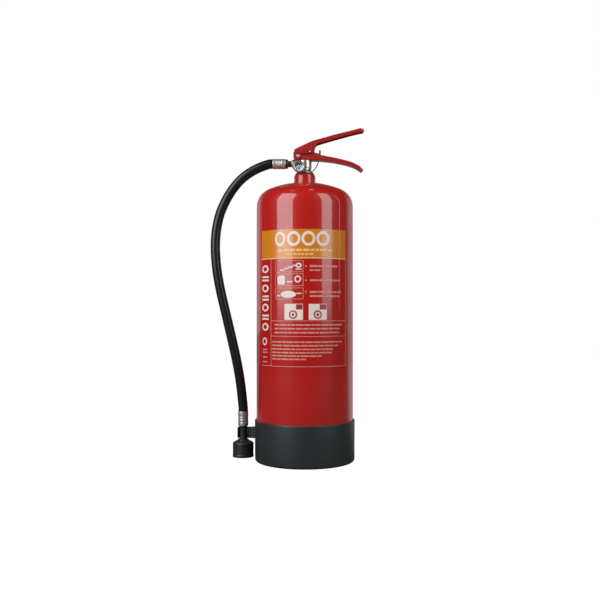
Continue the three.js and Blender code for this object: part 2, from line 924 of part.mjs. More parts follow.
// The pin's shank, with a flattened and turned-down end that carries the ring.
function safetyPin() {
  const shank = revolve(
    [
      [0, -pin.tip],
      [pin.radius, -pin.tip, 1.2],
      [pin.radius, pin.ringPlane],
      [0, pin.ringPlane],
    ],
  );
  const eyeZ = pinZ - pin.lug;
  const lug = sidePlate(
    [
      [pin.x - 3.4, pinZ + 2.4, 2.2],
      [pin.x - 3.4, eyeZ - 3.2, 3.2],
      [pin.x + 3.4, eyeZ - 3.2, 3.2],
      [pin.x + 3.4, pinZ + 2.4, 2.2],
    ],
    pin.lugThickness,
    pin.ringPlane,
  );
  const eye = disc(pullRing.wire + 2 * fitGap, pin.ringPlane - 5, pin.ringPlane + 5);
  const stop = disc(pin.radius + 1.2, leverHead / 2 + fitGap, leverHead / 2 + 1.5);
  return alongY(shank.add(stop), pin.x, pinZ).add(lug).subtract(alongY(eye, pin.x, eyeZ));
}

function pullRingPiece() {
  const ring = oRing(pullRing.radius, pullRing.wire, 0);
  return at(alongX(ring, 0, 0), pin.x, pin.ringPlane, pinZ - pin.lug - pullRing.radius);
}

// A moulded strap looped round the valve's foot, with its tagged tail standing up behind the handle.
function sealStrap() {
  const loopRadius = head.flange + fitGap + strap.section;
  const loopZ = neckTop + strap.section + 0.35;
  const tailY = leverHead / 2 + fitGap + strap.tagRadius;
  const lean = Math.PI / 4;
  const foot = [loopRadius * Math.cos(lean), loopRadius * Math.sin(lean)];
  const points = [
    [foot[0] - 0.4, foot[1] + 0.4, loopZ],
    [foot[0] + 0.5, foot[1] + 1.4, loopZ + 2.4],
    ...aboveValve([
      [14, -18.7],
      [18, -13.5],
      [21.7, -8.7],
      [24.8, -2.1],
      [27.1, 4.3],
      [28.5, 12.3],
      [28.9, 18],
    ]).map(([x, z]) => [x, tailY, z]),
  ].map((p) => new THREE.Vector3(...p));
  const tail = sweep(new THREE.CatmullRomCurve3(points), strap.section, 6, 12);
  const tagBottom = shoulder + 15.5;
  const tag = revolve([
    [0, tagBottom],
    [strap.tagRadius, tagBottom, 0.8],
    [strap.tagRadius, tagBottom + strap.tagLength, 0.8],
    [0, tagBottom + strap.tagLength],
  ]);
  return oRing(loopRadius, strap.section, loopZ, 6).add(tail).add(at(tag, 28.9, tailY, 0));
}

// ---------------------------------------------------------------- hose and nozzle
// The hose's middle line, from the upper ferrule round and down to the lower one.
const hoseRoute = [
  [-75.4, 551],
  [-86.6, 546.6],
  [-97.8, 540.8],
  [-109.1, 533.5],
  [-120.3, 524.1],
  [-131.5, 511.3],
  [-142.8, 494.8],
  [-151.4, 478.4],
  [-158.4, 461.4],
  [-164, 439.2],
  [-167, 416],
  [-167.4, 392],
  [-165.4, 363],
  [-161.3, 335.6],
  [-155.6, 307.4],
  [-149, 279.4],
  [-142.4, 251.4],
  [-135.8, 223.3],
  [-129.4, 195],
  [-123.9, 167.1],
  [-119.5, 139],
  [-116.6, 113],
];
const hoseLead = 5; // straight length at each end

function hosePiece() {
  const startX = ferruleStart - ferrule.length - fitGap;
  const endZ = nozzle.ferruleBottom + nozzle.ferruleLength + fitGap;
  const route2d = [
    [startX, outletZ],
    [startX - hoseLead, outletZ],
    ...hoseRoute,
    [nozzleX, endZ + hoseLead],
    [nozzleX, endZ],
  ];
  const points = route2d.map(([x, z]) => new THREE.Vector3(x, 0, z));
  const route = new THREE.CatmullRomCurve3(points, false, 'centripetal');
  console.log('hose length, mm:', route.getLength().toFixed(0));
  return sweep(route, hose.radius, hose.sides, hose.steps);
}

const couplingFace = -outlet.reach - fitGap;
const collarStart = -31.2;
const ferruleStart = -36.5;

function hoseCoupling() {
  const barbTip = ferruleStart - ferrule.length + 2;
  const bore = 3;
  return alongX(
    revolve(
      [
        [bore, -outlet.boreDepth - fitGap],
        [outlet.bore - fitGap, -outlet.boreDepth - fitGap],
        [outlet.bore - fitGap, couplingFace],
        [5.8, couplingFace, 0.3],
        [5.8, collarStart],
        [8.8, collarStart, 0.5],
        [8.8, ferruleStart + fitGap, 0.5],
        [ferrule.bore - fitGap, ferruleStart + fitGap],
        [ferrule.bore - fitGap, barbTip + 3],
        [bore + 1, barbTip],
        [bore, barbTip],
      ],
    ),
    0,
    outletZ,
  );
}

// A crimped sleeve with grooves pressed into it, from start to end along its axis.
function ferruleProfile(start, length) {
  const outer = ferrule.radius;
  const corners = [
    [ferrule.bore, start],
    [outer - 0.7, start],
    [outer, start + 0.7],
  ];
  const pitch = (length * 0.56) / ferrule.grooves;
  const first = start + length * 0.24;
  for (let i = 0; i < ferrule.grooves; i++) {
    const from = first + pitch * i;
    corners.push([outer, from], [outer - 0.7, from + pitch * 0.28], [outer, from + pitch * 0.56]);
  }
  corners.push([outer, start + length - 0.7], [outer - 0.7, start + length], [ferrule.bore, start + length]);
  return corners;
}

function ferruleTop() {
  const start = ferruleStart - ferrule.length;
  return alongX(revolve(ferruleProfile(start, ferrule.length)), 0, outletZ);
}

function ferruleBottom() {
  return at(revolve(ferruleProfile(nozzle.ferruleBottom, nozzle.ferruleLength)), nozzleX, 0, 0);
}

function nozzleStem() {
  const top = nozzle.ferruleBottom - fitGap;
  const bore = 2.8;
  const spigot = 6;
  return at(
    revolve(
      [
        [bore, nozzle.hornShoulder + 1],
        [spigot, nozzle.hornShoulder + 1],
        [spigot, nozzle.hornTop + fitGap],
        [nozzle.stemRadius, nozzle.hornTop + fitGap],
        [nozzle.stemRadius, top, 0.8],
        [ferrule.bore - fitGap, top],
        [ferrule.bore - fitGap, nozzle.ferruleBottom + 18],
        [bore + 1, nozzle.ferruleBottom + 22],
        [bore, nozzle.ferruleBottom + 22],
      ],
    ),
    nozzleX,
    0,
    0,
  );
}

function nozzleHorn() {
  const inner = nozzle.hornRadius - nozzle.hornWall;
  const hole = 6 + fitGap;
  return at(
    revolve(
      [
        [hole, nozzle.hornTop],
        [nozzle.stemRadius + 1.4, nozzle.hornTop, 0.8],
        [nozzle.stemRadius + 2.4, nozzle.hornTop - 3.2, 2],
        [nozzle.hornRadius, nozzle.hornShoulder, 2.4],
        [nozzle.hornRadius - 0.5, nozzle.hornBottom + 5, 2],
        [nozzle.hornRadius, nozzle.hornBottom, 0.8],
        [inner, nozzle.hornBottom, 0.6],
        [inner, nozzle.hornShoulder - 2, 3],
        [hole + 3, nozzle.hornShoulder + 0.7],
        [hole, nozzle.hornShoulder + 0.7],
      ],
    ),
    nozzleX,
    0,
    0,
  );
}

// ---------------------------------------------------------------- assembly
piece('cylinder_shell', cylinderShell(), redPaint);
piece('neck_ring', neckRing(), redPaint);
piece('neck_seal', neckSeal(), blackRubber);
piece('base_foot', baseFoot(), blackPlastic);
piece('valve_body', valveBody(), nickel);
piece('handle_clip', handleClip(), steelWire);
piece('stem_gland', stemGland(), brass);
piece('stem_seal', stemSeal(), blackRubber);
piece('valve_stem', valveStem(), brass);
piece('seat_disc', seatDisc(), blackRubber);
piece('valve_spring', valveSpring(), steelWire);
piece('tube_nut', tubeNut(), whitePlastic);
piece('dip_tube', dipTubePiece(), whitePlastic);
piece('tube_strainer', tubeStrainer(), blackPlastic);
piece('gauge_case', gaugeCase(), nickel);
piece('gauge_dial', gaugeDial(), whitePlastic);
piece('gauge_needle', gaugeNeedle(), blackPlastic);
piece('gauge_lens', gaugeLens(), clearGlass);
piece('gauge_bezel', gaugeBezel(), nickel);
piece('carry_handle', carryHandle(), redPaint);
piece('squeeze_lever', squeezeLever(), redPaint);
piece('lever_rivet', leverRivet(), zinc);
piece('safety_pin', safetyPin(), zinc);
piece('pull_ring', pullRingPiece(), steelWire);
piece('seal_strap', sealStrap(), greyPlastic);
piece('hose_coupling', hoseCoupling(), brass);
piece('ferrule_top', ferruleTop(), zinc);
piece('hose', hosePiece(), blackRubber);
piece('ferrule_bottom', ferruleBottom(), zinc);
piece('nozzle_stem', nozzleStem(), blackPlastic);
piece('nozzle_horn', nozzleHorn(), blackPlastic);

export default extinguisher;
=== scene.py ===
import math
import random

import bmesh
import bpy
from mathutils import Matrix, Vector


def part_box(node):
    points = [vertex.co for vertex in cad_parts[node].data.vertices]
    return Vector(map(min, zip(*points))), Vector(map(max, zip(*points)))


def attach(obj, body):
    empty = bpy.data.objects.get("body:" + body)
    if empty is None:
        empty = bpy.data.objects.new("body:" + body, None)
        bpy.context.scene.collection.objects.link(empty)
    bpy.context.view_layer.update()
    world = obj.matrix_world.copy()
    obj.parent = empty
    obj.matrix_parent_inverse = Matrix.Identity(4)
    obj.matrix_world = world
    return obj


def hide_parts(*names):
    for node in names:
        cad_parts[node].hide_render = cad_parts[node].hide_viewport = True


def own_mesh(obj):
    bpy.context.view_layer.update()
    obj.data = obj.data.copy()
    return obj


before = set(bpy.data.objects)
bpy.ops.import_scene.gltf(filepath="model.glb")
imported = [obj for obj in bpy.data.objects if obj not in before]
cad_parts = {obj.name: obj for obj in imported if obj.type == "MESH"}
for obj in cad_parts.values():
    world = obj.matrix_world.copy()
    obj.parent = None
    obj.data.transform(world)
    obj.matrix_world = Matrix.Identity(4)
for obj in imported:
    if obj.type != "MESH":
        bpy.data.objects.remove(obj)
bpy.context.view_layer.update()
scene = bpy.context.scene
mm = 0.001
seatGap = 0.3  # between seated pieces, in millimetres
print("frame loaded")


def placed(name, data):
    thing = bpy.data.objects.new(name, data)
    scene.collection.objects.link(thing)
    return thing


# camera: solved from the photograph's ellipses, in its 600 x 600 pixels
photoCamera = {
    "place": (-0.0089, -1.468, 0.283), "focalPixels": 784.0, "imagePixels": 600.0, "horizonPixel": 308.6,
    "sensor": 36.0,
}


def makeCamera(c):
    data = bpy.data.cameras.new("photoCamera")
    data.sensor_width = c["sensor"]
    data.lens = c["focalPixels"] * c["sensor"] / c["imagePixels"]
    camera = placed("photoCamera", data)
    camera.location = c["place"]
    lookUp = math.atan((c["horizonPixel"] - c["imagePixels"] / 2) / c["focalPixels"])
    camera.rotation_euler = (math.pi / 2 + lookUp, 0, 0)
    scene.camera = camera


makeCamera(photoCamera)
scene.view_settings.view_transform = "Standard"
print("camera made")


# node helpers
def setInputs(node, **values):
    for name, value in values.items():
        node.inputs[name.replace("_", " ")].default_value = value


def addNode(tree, kind, **values):
    node = tree.nodes.new("ShaderNode" + kind)
    for name, value in values.items():
        if hasattr(node, name):
            setattr(node, name, value)
        else:
            setInputs(node, **{name: value})
    return node


def outputOf(tree, kind, output):
    return addNode(tree, kind).outputs[output]


def join(tree, output, target):
    tree.links.new(output, target)


def setSockets(tree, node, values):
    for socket, value in values.items():
        if isinstance(value, (int, float)):
            node.inputs[socket].default_value = value
        elif isinstance(value, tuple):
            node.inputs[socket].default_value = (*value, 1.0)
        elif value is not None:
            join(tree, value, node.inputs[socket])


def math2(tree, operation, a, b=None):
    node = addNode(tree, "Math", operation=operation)
    setSockets(tree, node, {0: a, 1: b})
    return node.outputs[0]


def times(tree, a, b):
    return math2(tree, "MULTIPLY", a, b)


def vectorMath(tree, operation, first):
    node = addNode(tree, "VectorMath", operation=operation)
    join(tree, first, node.inputs[0])
    return node


def splitVector(tree, vector):
    node = addNode(tree, "SeparateXYZ")
    join(tree, vector, node.inputs[0])
    return node


def remap(tree, value, low, high, toLow=0.0, toHigh=1.0):
    node = addNode(tree, "MapRange", From_Min=low, From_Max=high, To_Min=toLow, To_Max=toHigh)
    join(tree, value, node.inputs["Value"])
    return node.outputs["Result"]


def mixColours(tree, factor, first, second):
    node = addNode(tree, "Mix", data_type="RGBA")
    setSockets(tree, node, {0: factor, 6: first, 7: second})
    return node.outputs[2]


def newGroup(name, inputs, outputs):
    group = bpy.data.node_groups.new(name, "ShaderNodeTree")
    for label, number in inputs:
        socket = group.interface.new_socket(name=label, in_out="INPUT", socket_type="NodeSocketFloat")
        socket.default_value = number
    for label in outputs:
        group.interface.new_socket(name=label, in_out="OUTPUT", socket_type="NodeSocketFloat")
    return group, group.nodes.new("NodeGroupInput"), group.nodes.new("NodeGroupOutput")


def useGroup(tree, group, **values):
    return addNode(tree, "Group", node_tree=group, **values)


def newMaterial(name):
    material = bpy.data.materials.new(name)
    material.use_nodes = True
    return material, material.node_tree, material.node_tree.nodes["Principled BSDF"]


def noiseOf(group, scale, detail):
    noise = addNode(group, "TexNoise", Detail=detail)
    join(group, outputOf(group, "TexCoord", "Object"), noise.inputs["Vector"])
    join(group, scale, noise.inputs["Scale"])
    return noise.outputs["Fac"]


# grain: fine moulded or cast texture, with a slow mottle for colour
def makeGrainGroup():
    group, source, sink = newGroup("grain", [("Fineness", 900.0), ("Patches", 30.0)], ["Height", "Mottle"])
    for label, output, detail in (("Fineness", "Height", 3.0), ("Patches", "Mottle", 2.0)):
        join(group, noiseOf(group, source.outputs[label], detail), sink.inputs[output])
    return group


# rubbed edges: bright where the surface turns sharply, broken up by noise
def makeRubGroup():
    group, source, sink = newGroup("rubbedEdges", [("Reach", 0.0008), ("Break up", 220.0)], ["Mask"])
    soft = addNode(group, "Bevel", samples=4)
    join(group, source.outputs["Reach"], soft.inputs["Radius"])
    dot = vectorMath(group, "DOT_PRODUCT", soft.outputs["Normal"])
    join(group, outputOf(group, "NewGeometry", "Normal"), dot.inputs[1])
    turn = remap(group, dot.outputs["Value"], 0.985, 0.86)
    broken = remap(group, noiseOf(group, source.outputs["Break up"], 4.0), 0.42, 0.62)
    join(group, times(group, turn, broken), sink.inputs["Mask"])
    return group


# dust: a thin film on faces that look up
def makeDustGroup():
    group, source, sink = newGroup("dust", [("Patches", 60.0), ("Most", 0.3)], ["Mask"])
    up = splitVector(group, outputOf(group, "NewGeometry", "Normal"))
    facing = remap(group, up.outputs["Z"], 0.35, 1.0)
    film = times(group, facing, remap(group, noiseOf(group, source.outputs["Patches"], 5.0), 0.3, 0.75))
    join(group, times(group, film, source.outputs["Most"]), sink.inputs["Mask"])
    return group


grainGroup = makeGrainGroup()
rubGroup = makeRubGroup()
dustGroup = makeDustGroup()
print("node groups made")


dustTone = (0.42, 0.40, 0.37)


# a finish: two base tones, a roughness range, fine relief, rubbed edges and dust
def makeFinish(
    name, tone, tone2, rough, relief, patches=30.0, fineness=900.0, depth=0.0002, rub=None, rubAmount=0.0, dust=0.15,
    metal=0.0, coat=0.0, coatRough=0.05, level=0.5,
):
    material, tree, shader = newMaterial(name)
    grain = useGroup(tree, grainGroup, Fineness=fineness, Patches=patches)
    mottle = grain.outputs["Mottle"]
    colour = mixColours(tree, remap(tree, mottle, 0.35, 0.65), tone, tone2)
    if rub:
        worn = times(tree, useGroup(tree, rubGroup).outputs["Mask"], rubAmount)
        colour = mixColours(tree, worn, colour, rub)
    film = useGroup(tree, dustGroup, Most=dust).outputs["Mask"]
    join(tree, mixColours(tree, film, colour, dustTone), shader.inputs["Base Color"])
    roughness = math2(tree, "ADD", remap(tree, mottle, 0.3, 0.7, *rough), times(tree, film, 0.5))
    join(tree, roughness, shader.inputs["Roughness"])
    bump = addNode(tree, "Bump", Strength=relief, Distance=depth)
    join(tree, grain.outputs["Height"], bump.inputs["Height"])
    join(tree, bump.outputs["Normal"], shader.inputs["Normal"])
    setInputs(shader, Metallic=metal, Coat_Weight=coat, Coat_Roughness=coatRough, IOR=1.5, Specular_IOR_Level=level)
    return material


redPaint = makeFinish(
    "redPaint", (0.42, 0.0080, 0.0058), (0.39, 0.0070, 0.0052), (0.34, 0.40), 0.05, patches=9.0, fineness=330.0,
    depth=0.00012, coat=0.75, coatRough=0.045, dust=0.01, level=0.2,
)
# red paint of the lever and carry handle: its tone is darkened below the vessel's to paint in the shade that falls on
# the pressed channels
handlePaintWithShade = makeFinish(
    "handlePaintWithShade", (0.31, 0.0062, 0.0066), (0.26, 0.0054, 0.0060), (0.36, 0.46), 0.02, patches=45.0,
    fineness=500.0, depth=0.0001, coat=0.25, coatRough=0.12, rub=(0.38, 0.04, 0.036), rubAmount=0.3, dust=0.02,
    level=0.3,
)
footPlastic = makeFinish(
    "footPlastic", (0.0178, 0.0169, 0.0187), (0.0142, 0.0135, 0.0151), (0.42, 0.52), 0.16, patches=14.0,
    fineness=1400.0, depth=0.00012, rub=(0.07, 0.074, 0.08), rubAmount=0.4, dust=0.12,
)
nozzlePlastic = makeFinish(
    "nozzlePlastic", (0.0145, 0.014, 0.015), (0.0105, 0.010, 0.011), (0.34, 0.46), 0.14, patches=60.0,
    fineness=1500.0, depth=0.0001, rub=(0.06, 0.06, 0.065), rubAmount=0.5, dust=0.08,
)
hoseRubber = makeFinish(
    "hoseRubber", (0.010, 0.0095, 0.0095), (0.007, 0.0065, 0.0065), (0.24, 0.30), 0.04, patches=35.0,
    fineness=1100.0, depth=0.0001, dust=0.02, level=0.3,
)
needlePaint = makeFinish("needlePaint", (0.16, 0.16, 0.165), (0.13, 0.13, 0.135), (0.4, 0.5), 0.02, dust=0.0)
sealRubber = makeFinish("sealRubber", (0.014, 0.014, 0.014), (0.010, 0.010, 0.010), (0.55, 0.7), 0.2)
nickelPlate = makeFinish(
    "nickelPlate", (0.50, 0.43, 0.38), (0.41, 0.35, 0.31), (0.32, 0.42), 0.02, patches=60.0, fineness=700.0,
    depth=0.0001, metal=1.0, rub=(0.66, 0.61, 0.52), rubAmount=0.3, dust=0.05,
)
darkBrass = makeFinish(
    "darkBrass", (0.13, 0.105, 0.070), (0.085, 0.068, 0.050), (0.32, 0.46), 0.06, patches=160.0, fineness=900.0,
    depth=0.0001, metal=1.0, rub=(0.34, 0.28, 0.18), rubAmount=0.5,
)
zincPlate = makeFinish(
    "zincPlate", (0.62, 0.56, 0.56), (0.52, 0.47, 0.47), (0.36, 0.44), 0.02, patches=60.0, fineness=1200.0,
    depth=0.0001, metal=0.9, rub=(0.7, 0.7, 0.7), rubAmount=0.4,
)
brightWire = makeFinish(
    "brightWire", (0.66, 0.66, 0.66), (0.54, 0.54, 0.54), (0.26, 0.36), 0.08, patches=200.0, fineness=1500.0,
    metal=1.0,
)
whitePlastic = makeFinish("whitePlastic", (0.72, 0.72, 0.70), (0.68, 0.67, 0.64), (0.4, 0.5), 0.08)
strapPlastic = makeFinish(
    "strapPlastic", (0.060, 0.046, 0.036), (0.042, 0.033, 0.028), (0.3, 0.42), 0.08, patches=90.0,
)
orangeFilm = makeFinish(
    "orangeFilm", (0.60, 0.175, 0.003), (0.56, 0.16, 0.003), (0.30, 0.36), 0.03, patches=9.0, fineness=500.0,
    coat=0.4, coatRough=0.07, dust=0.0,
)


def makeInk(name, tone, tone2, patches=400.0):
    return makeFinish(name, tone, tone2, (0.36, 0.46), 0.03, patches, dust=0.0)


creamInk = makeInk("creamInk", (0.76, 0.59, 0.55), (0.70, 0.54, 0.50), patches=300.0)
pinkInk = makeInk("pinkInk", (0.64, 0.225, 0.19), (0.58, 0.19, 0.16))
peachInk = makeInk("peachInk", (0.78, 0.45, 0.21), (0.74, 0.41, 0.18))
redInk = makeFinish("redInk", (0.36, 0.012, 0.013), (0.30, 0.010, 0.011), (0.32, 0.4), 0.03, dust=0.0)
print("finishes made")


# mesh helpers: outlines are in millimetres, and corners are (x, y) or (x, y, round)
arcStep = 10.0  # degrees between points of a round corner


def rounded(corners):
    points = []
    count = len(corners)
    for i, corner in enumerate(corners):
        here = Vector(corner[:2])
        back = (Vector(corners[i - 1][:2]) - here).normalized()
        on = (Vector(corners[(i + 1) % count][:2]) - here).normalized()
        opening = math.acos(max(-1.0, min(1.0, back.dot(on))))
        radius = corner[2] if len(corner) > 2 else 0.0
        if radius == 0 or math.pi - opening < 1e-4:
            points.append(here)
            continue
        centre = here + (back + on).normalized() * radius / math.sin(opening / 2)
        start = here + back * radius / math.tan(opening / 2) - centre
        end = here + on * radius / math.tan(opening / 2) - centre
        sweep = math.atan2(start.x * end.y - start.y * end.x, start.dot(end))
        steps = max(1, round(abs(math.degrees(sweep)) / arcStep))
        for s in range(steps + 1):
            a = sweep * s / steps
            c, n = math.cos(a), math.sin(a)
            points.append(centre + Vector((start.x * c - start.y * n, start.x * n + start.y * c)))
    return points


def toObject(name, bm, sharp=34.0):
    bmesh.ops.remove_doubles(bm, verts=bm.verts, dist=1e-7)
    bmesh.ops.recalc_face_normals(bm, faces=bm.faces)
    mesh = bpy.data.meshes.new(name)
    bm.to_mesh(mesh)
    bm.free()
    smooth(mesh, sharp)
    return placed(name, mesh)


def smooth(mesh, sharp):
    mesh.shade_smooth()
    mesh.set_sharp_from_angle(angle=math.radians(sharp))


def circle(count):
    return [(math.cos(2 * math.pi * i / count), math.sin(2 * math.pi * i / count)) for i in range(count)]


# a turned shape about +Z, from a closed outline of (radius, height)
def turned(name, corners, sides, matrix=None, sharp=34.0):
    bm = bmesh.new()
    rings = []
    for p in rounded(corners):
        if p.x < 1e-6:
            rings.append([bm.verts.new((0, 0, p.y * mm))] * sides)
        else:
            rings.append([bm.verts.new((p.x * mm * c, p.x * mm * s, p.y * mm)) for c, s in circle(sides)])
    for first, second in zip(rings, rings[1:] + rings[:1]):
        for i in range(sides):
            k = (i + 1) % sides
            corners = list(dict.fromkeys((first[i], first[k], second[k], second[i])))
            if len(corners) > 2:
                bm.faces.new(corners)
    if matrix is not None:
        bm.transform(matrix)
    return toObject(name, bm, sharp)


# a plain round bar or bore, from one height to another
def rod(name, radius, start, end, sides=32, matrix=None, edge=0.0):
    return turned(name, [(0, start), (radius, start, edge), (radius, end, edge), (0, end)], sides, matrix=matrix)


# where a turned shape stands, in millimetres: upright, or laid along X or Y
def standing(x, y=0.0, z=0.0):
    return Matrix.Translation((x * mm, y * mm, z * mm))


def alongX(y, z):
    return standing(0, y, z) @ Matrix.Rotation(math.pi / 2, 4, "Y")


def alongY(x, z):
    return standing(x, 0, z) @ Matrix.Rotation(-math.pi / 2, 4, "X")


# corners, then their images across the X axis, back again
def mirrored(corners):
    return corners + [(x, -y, *more) for x, y, *more in corners[::-1]]


# a plate from an outline in X and Z, or in X and Y
def plate(name, corners, low, high, flat="XZ"):
    bm = bmesh.new()
    points = rounded(corners)
    rings = []
    for level in (low, high):
        spots = [(p.x, level, p.y) if flat == "XZ" else (p.x, p.y, level) for p in points]
        rings.append([bm.verts.new(Vector(spot) * mm) for spot in spots])
        bm.faces.new(rings[-1])
    for i in range(len(points)):
        k = (i + 1) % len(points)
        bm.faces.new((rings[0][i], rings[0][k], rings[1][k], rings[1][i]))
    return toObject(name, bm)


def finalMesh(thing):
    return bpy.data.meshes.new_from_object(thing.evaluated_get(bpy.context.evaluated_depsgraph_get()))


def settle(thing, sharp=34.0):
    mesh = finalMesh(thing)
    thing.modifiers.clear()
    thing.data = mesh
    mesh.name = thing.name
    smooth(mesh, sharp)


# welds and dissolves what a carve leaves too small to see
def cleaned(thing):
    gap, angle = 0.01 * mm, math.radians(0.2)
    bm = bmesh.new()
    bm.from_mesh(thing.data)
    bmesh.ops.remove_doubles(bm, verts=bm.verts, dist=gap)
    bmesh.ops.dissolve_degenerate(bm, edges=bm.edges, dist=gap)
    bmesh.ops.dissolve_limit(bm, angle_limit=angle, verts=bm.verts, edges=bm.edges)
    bm.to_mesh(thing.data)
    bm.free()
    return thing


def carve(thing, operation, *tools):
    for tool in tools:
        modifier = thing.modifiers.new("carve", "BOOLEAN")
        modifier.operation = operation
        modifier.object = tool
        modifier.solver = "EXACT"
        settle(thing)
        cleaned(thing)
        bpy.data.objects.remove(tool)
    return thing


def bevelled(thing, width, segments, angle=32.0):
    bevel = thing.modifiers.new("bevel", "BEVEL")
    bevel.width = width * mm
    bevel.segments = segments
    bevel.limit_method = "ANGLE"
    bevel.angle_limit = math.radians(angle)
    bevel.miter_outer = "MITER_ARC"
    bevel.use_clamp_overlap = False
    settle(thing, 40.0)
    return thing


def paint(thing, material):
    thing.data.materials.clear()
    thing.data.materials.append(material)


def finishPiece(thing, material, body, slotName, *replaced):
    paint(thing, material)
    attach(thing, body)
    if replaced:
        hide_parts(*replaced)
    return thing


def lowHigh(node):
    low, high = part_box(node)
    return low / mm, high / mm


# hose and nozzle
hoseShape = {
    "radius": 9.0, "lead": 5.0, "steps": 9,
    "route": [
        (-75.4, 551), (-86.6, 546.6), (-97.8, 540.8), (-109.1, 533.5), (-120.3, 524.1), (-131.5, 511.3),
        (-142.8, 494.8), (-151.4, 478.4), (-158.4, 461.4), (-164, 439.2), (-167, 416), (-167.4, 392),
        (-165.4, 363), (-161.3, 335.6), (-155.6, 307.4), (-149, 279.4), (-142.4, 251.4), (-135.8, 223.3),
        (-129.4, 195), (-123.9, 167.1), (-119.5, 139), (-116.6, 113),
    ],
}


# a smooth line through points, each step weighted by the root of its length
def throughPoints(points, steps):
    ends = [points[0] * 2 - points[1], *points, points[-1] * 2 - points[-2]]
    line = []
    for a, b, c, d in zip(ends, ends[1:], ends[2:], ends[3:]):
        t1 = (b - a).length ** 0.5
        t2 = t1 + (c - b).length ** 0.5
        t3 = t2 + (d - c).length ** 0.5
        for s in range(steps):
            t = t1 + (t2 - t1) * s / steps
            p = a * ((t1 - t) / t1) + b * (t / t1)
            q = b * ((t2 - t) / (t2 - t1)) + c * ((t - t1) / (t2 - t1))
            r = c * ((t3 - t) / (t3 - t2)) + d * ((t - t2) / (t3 - t2))
            u = p * ((t2 - t) / t2) + q * (t / t2)
            v = q * ((t3 - t) / (t3 - t1)) + r * ((t - t1) / (t3 - t1))
            line.append(u * ((t2 - t) / (t2 - t1)) + v * ((t - t1) / (t2 - t1)))
    line.append(points[-1].copy())
    return line


def curvePiece(name, line, radius, resolution):
    curve = bpy.data.curves.new(name, "CURVE")
    curve.dimensions = "3D"
    curve.bevel_depth = radius * mm
    curve.bevel_resolution = resolution
    curve.use_fill_caps = True
    spline = curve.splines.new("POLY")
    spline.points.add(len(line) - 1)
    for point, spot in zip(spline.points, line):
        point.co = (*(spot * mm), 1.0)
    spline.use_smooth = True
    return placed(name, curve)


outletZ = sum(v.z for v in lowHigh("ferrule_top")) / 2
nozzleX = sum(v.x for v in lowHigh("ferrule_bottom")) / 2
outletAxis, nozzleAxis = alongX(0, outletZ), standing(nozzleX)


def makeHose(h):
    startX = lowHigh("ferrule_top")[0].x - seatGap
    endZ = lowHigh("ferrule_bottom")[1].z + seatGap
    route = [
        (startX, outletZ), (startX - h["lead"], outletZ), *h["route"],
        (nozzleX, endZ + h["lead"]), (nozzleX, endZ),
    ]
    line = throughPoints([Vector((x, 0, z)) for x, z in route], h["steps"])
    length = sum((b - a).length for a, b in zip(line, line[1:]))
    print("hose length", round(length), "mm")
    return curvePiece("rubber_hose", line, h["radius"], 10), line[0] * mm, length * mm


ferruleShape = {"radius": 9.55, "bore": 5.3, "grooves": 3, "depth": 0.4}


def ferruleOutline(f, start, end):
    length = end - start
    outer = f["radius"]
    corners = [(f["bore"], start), (outer - 0.3, start, 0.3), (outer, start + 0.7, 0.3)]
    pitch = length * 0.56 / f["grooves"]
    for i in range(f["grooves"]):
        here = start + length * 0.24 + pitch * i
        corners += [(outer, here, 0.35), (outer - f["depth"], here + pitch * 0.14, 0.4)]
        corners += [(outer - f["depth"], here + pitch * 0.42, 0.4), (outer, here + pitch * 0.56, 0.35)]
    corners += [(outer, end - 0.7, 0.3), (outer - 0.3, end, 0.3), (f["bore"], end)]
    return corners


couplingShape = {"neck": 5.8, "collar": 8.8, "spigot": 4.3, "bore": 3.0, "barb": 5.0, "collarLength": 5.0}


def makeCoupling(c):
    low, high = lowHigh("hose_coupling")
    face = lowHigh("valve_body")[0].x - seatGap
    start = lowHigh("ferrule_top")[1].x + seatGap
    end = start + c["collarLength"]
    corners = [
        (c["bore"], high.x), (c["spigot"], high.x), (c["spigot"], face), (c["neck"], face, 0.4),
        (c["neck"], end, 0.6), (c["collar"] - 0.9, end, 0.3), (c["collar"], end - 0.9, 0.3), (c["collar"], start, 0.4),
        (c["barb"], start), (c["barb"], low.x, 0.5), (c["bore"], low.x),
    ]
    return turned("outlet_coupling", corners, 64, outletAxis)


nozzleShape = {"bore": 2.8, "spigot": 6.0, "stem": 7.7, "barb": 5.0, "hole": 6.3, "wall": 2.0}


def makeNozzleStem(n):
    low, high = lowHigh("nozzle_stem")
    hornTop = lowHigh("nozzle_horn")[1].z + seatGap
    neckTop = lowHigh("ferrule_bottom")[0].z - seatGap
    corners = [
        (n["bore"], low.z), (n["spigot"], low.z), (n["spigot"], hornTop), (n["stem"], hornTop, 0.4),
        (n["stem"], hornTop + 3.2, 0.3), (n["stem"] - 0.6, hornTop + 3.8, 0.3), (n["stem"] - 0.6, neckTop - 2.8, 0.3),
        (n["stem"], neckTop - 2.2, 0.3), (n["stem"], neckTop, 0.6), (n["barb"], neckTop), (n["barb"], high.z, 0.8),
        (n["bore"], high.z),
    ]
    return turned("nozzle_tail", corners, 64, nozzleAxis)


# the horn: a shoulder, a skirt and a plain lip at the mouth
def makeNozzleHorn(n):
    low, high = lowHigh("nozzle_horn")
    radius = (high.x - low.x) / 2 + 0.05
    floor = high.z - 8.7
    inner = radius - n["wall"]
    corners = [
        (n["hole"], high.z), (n["stem"] + 1.9, high.z, 0.8), (n["stem"] + 3.0, high.z - 1.6, 1.6),
        (radius - 0.2, high.z - 6.4, 3.0), (radius - 0.4, low.z + 5.2, 0.5), (radius, low.z + 4.4, 0.5),
        (radius, low.z, 0.8), (inner, low.z, 0.6), (inner, floor - 2.7, 3.0), (n["hole"] + 3, floor),
        (n["hole"], floor),
    ]
    return turned("foam_nozzle", corners, 144, nozzleAxis)


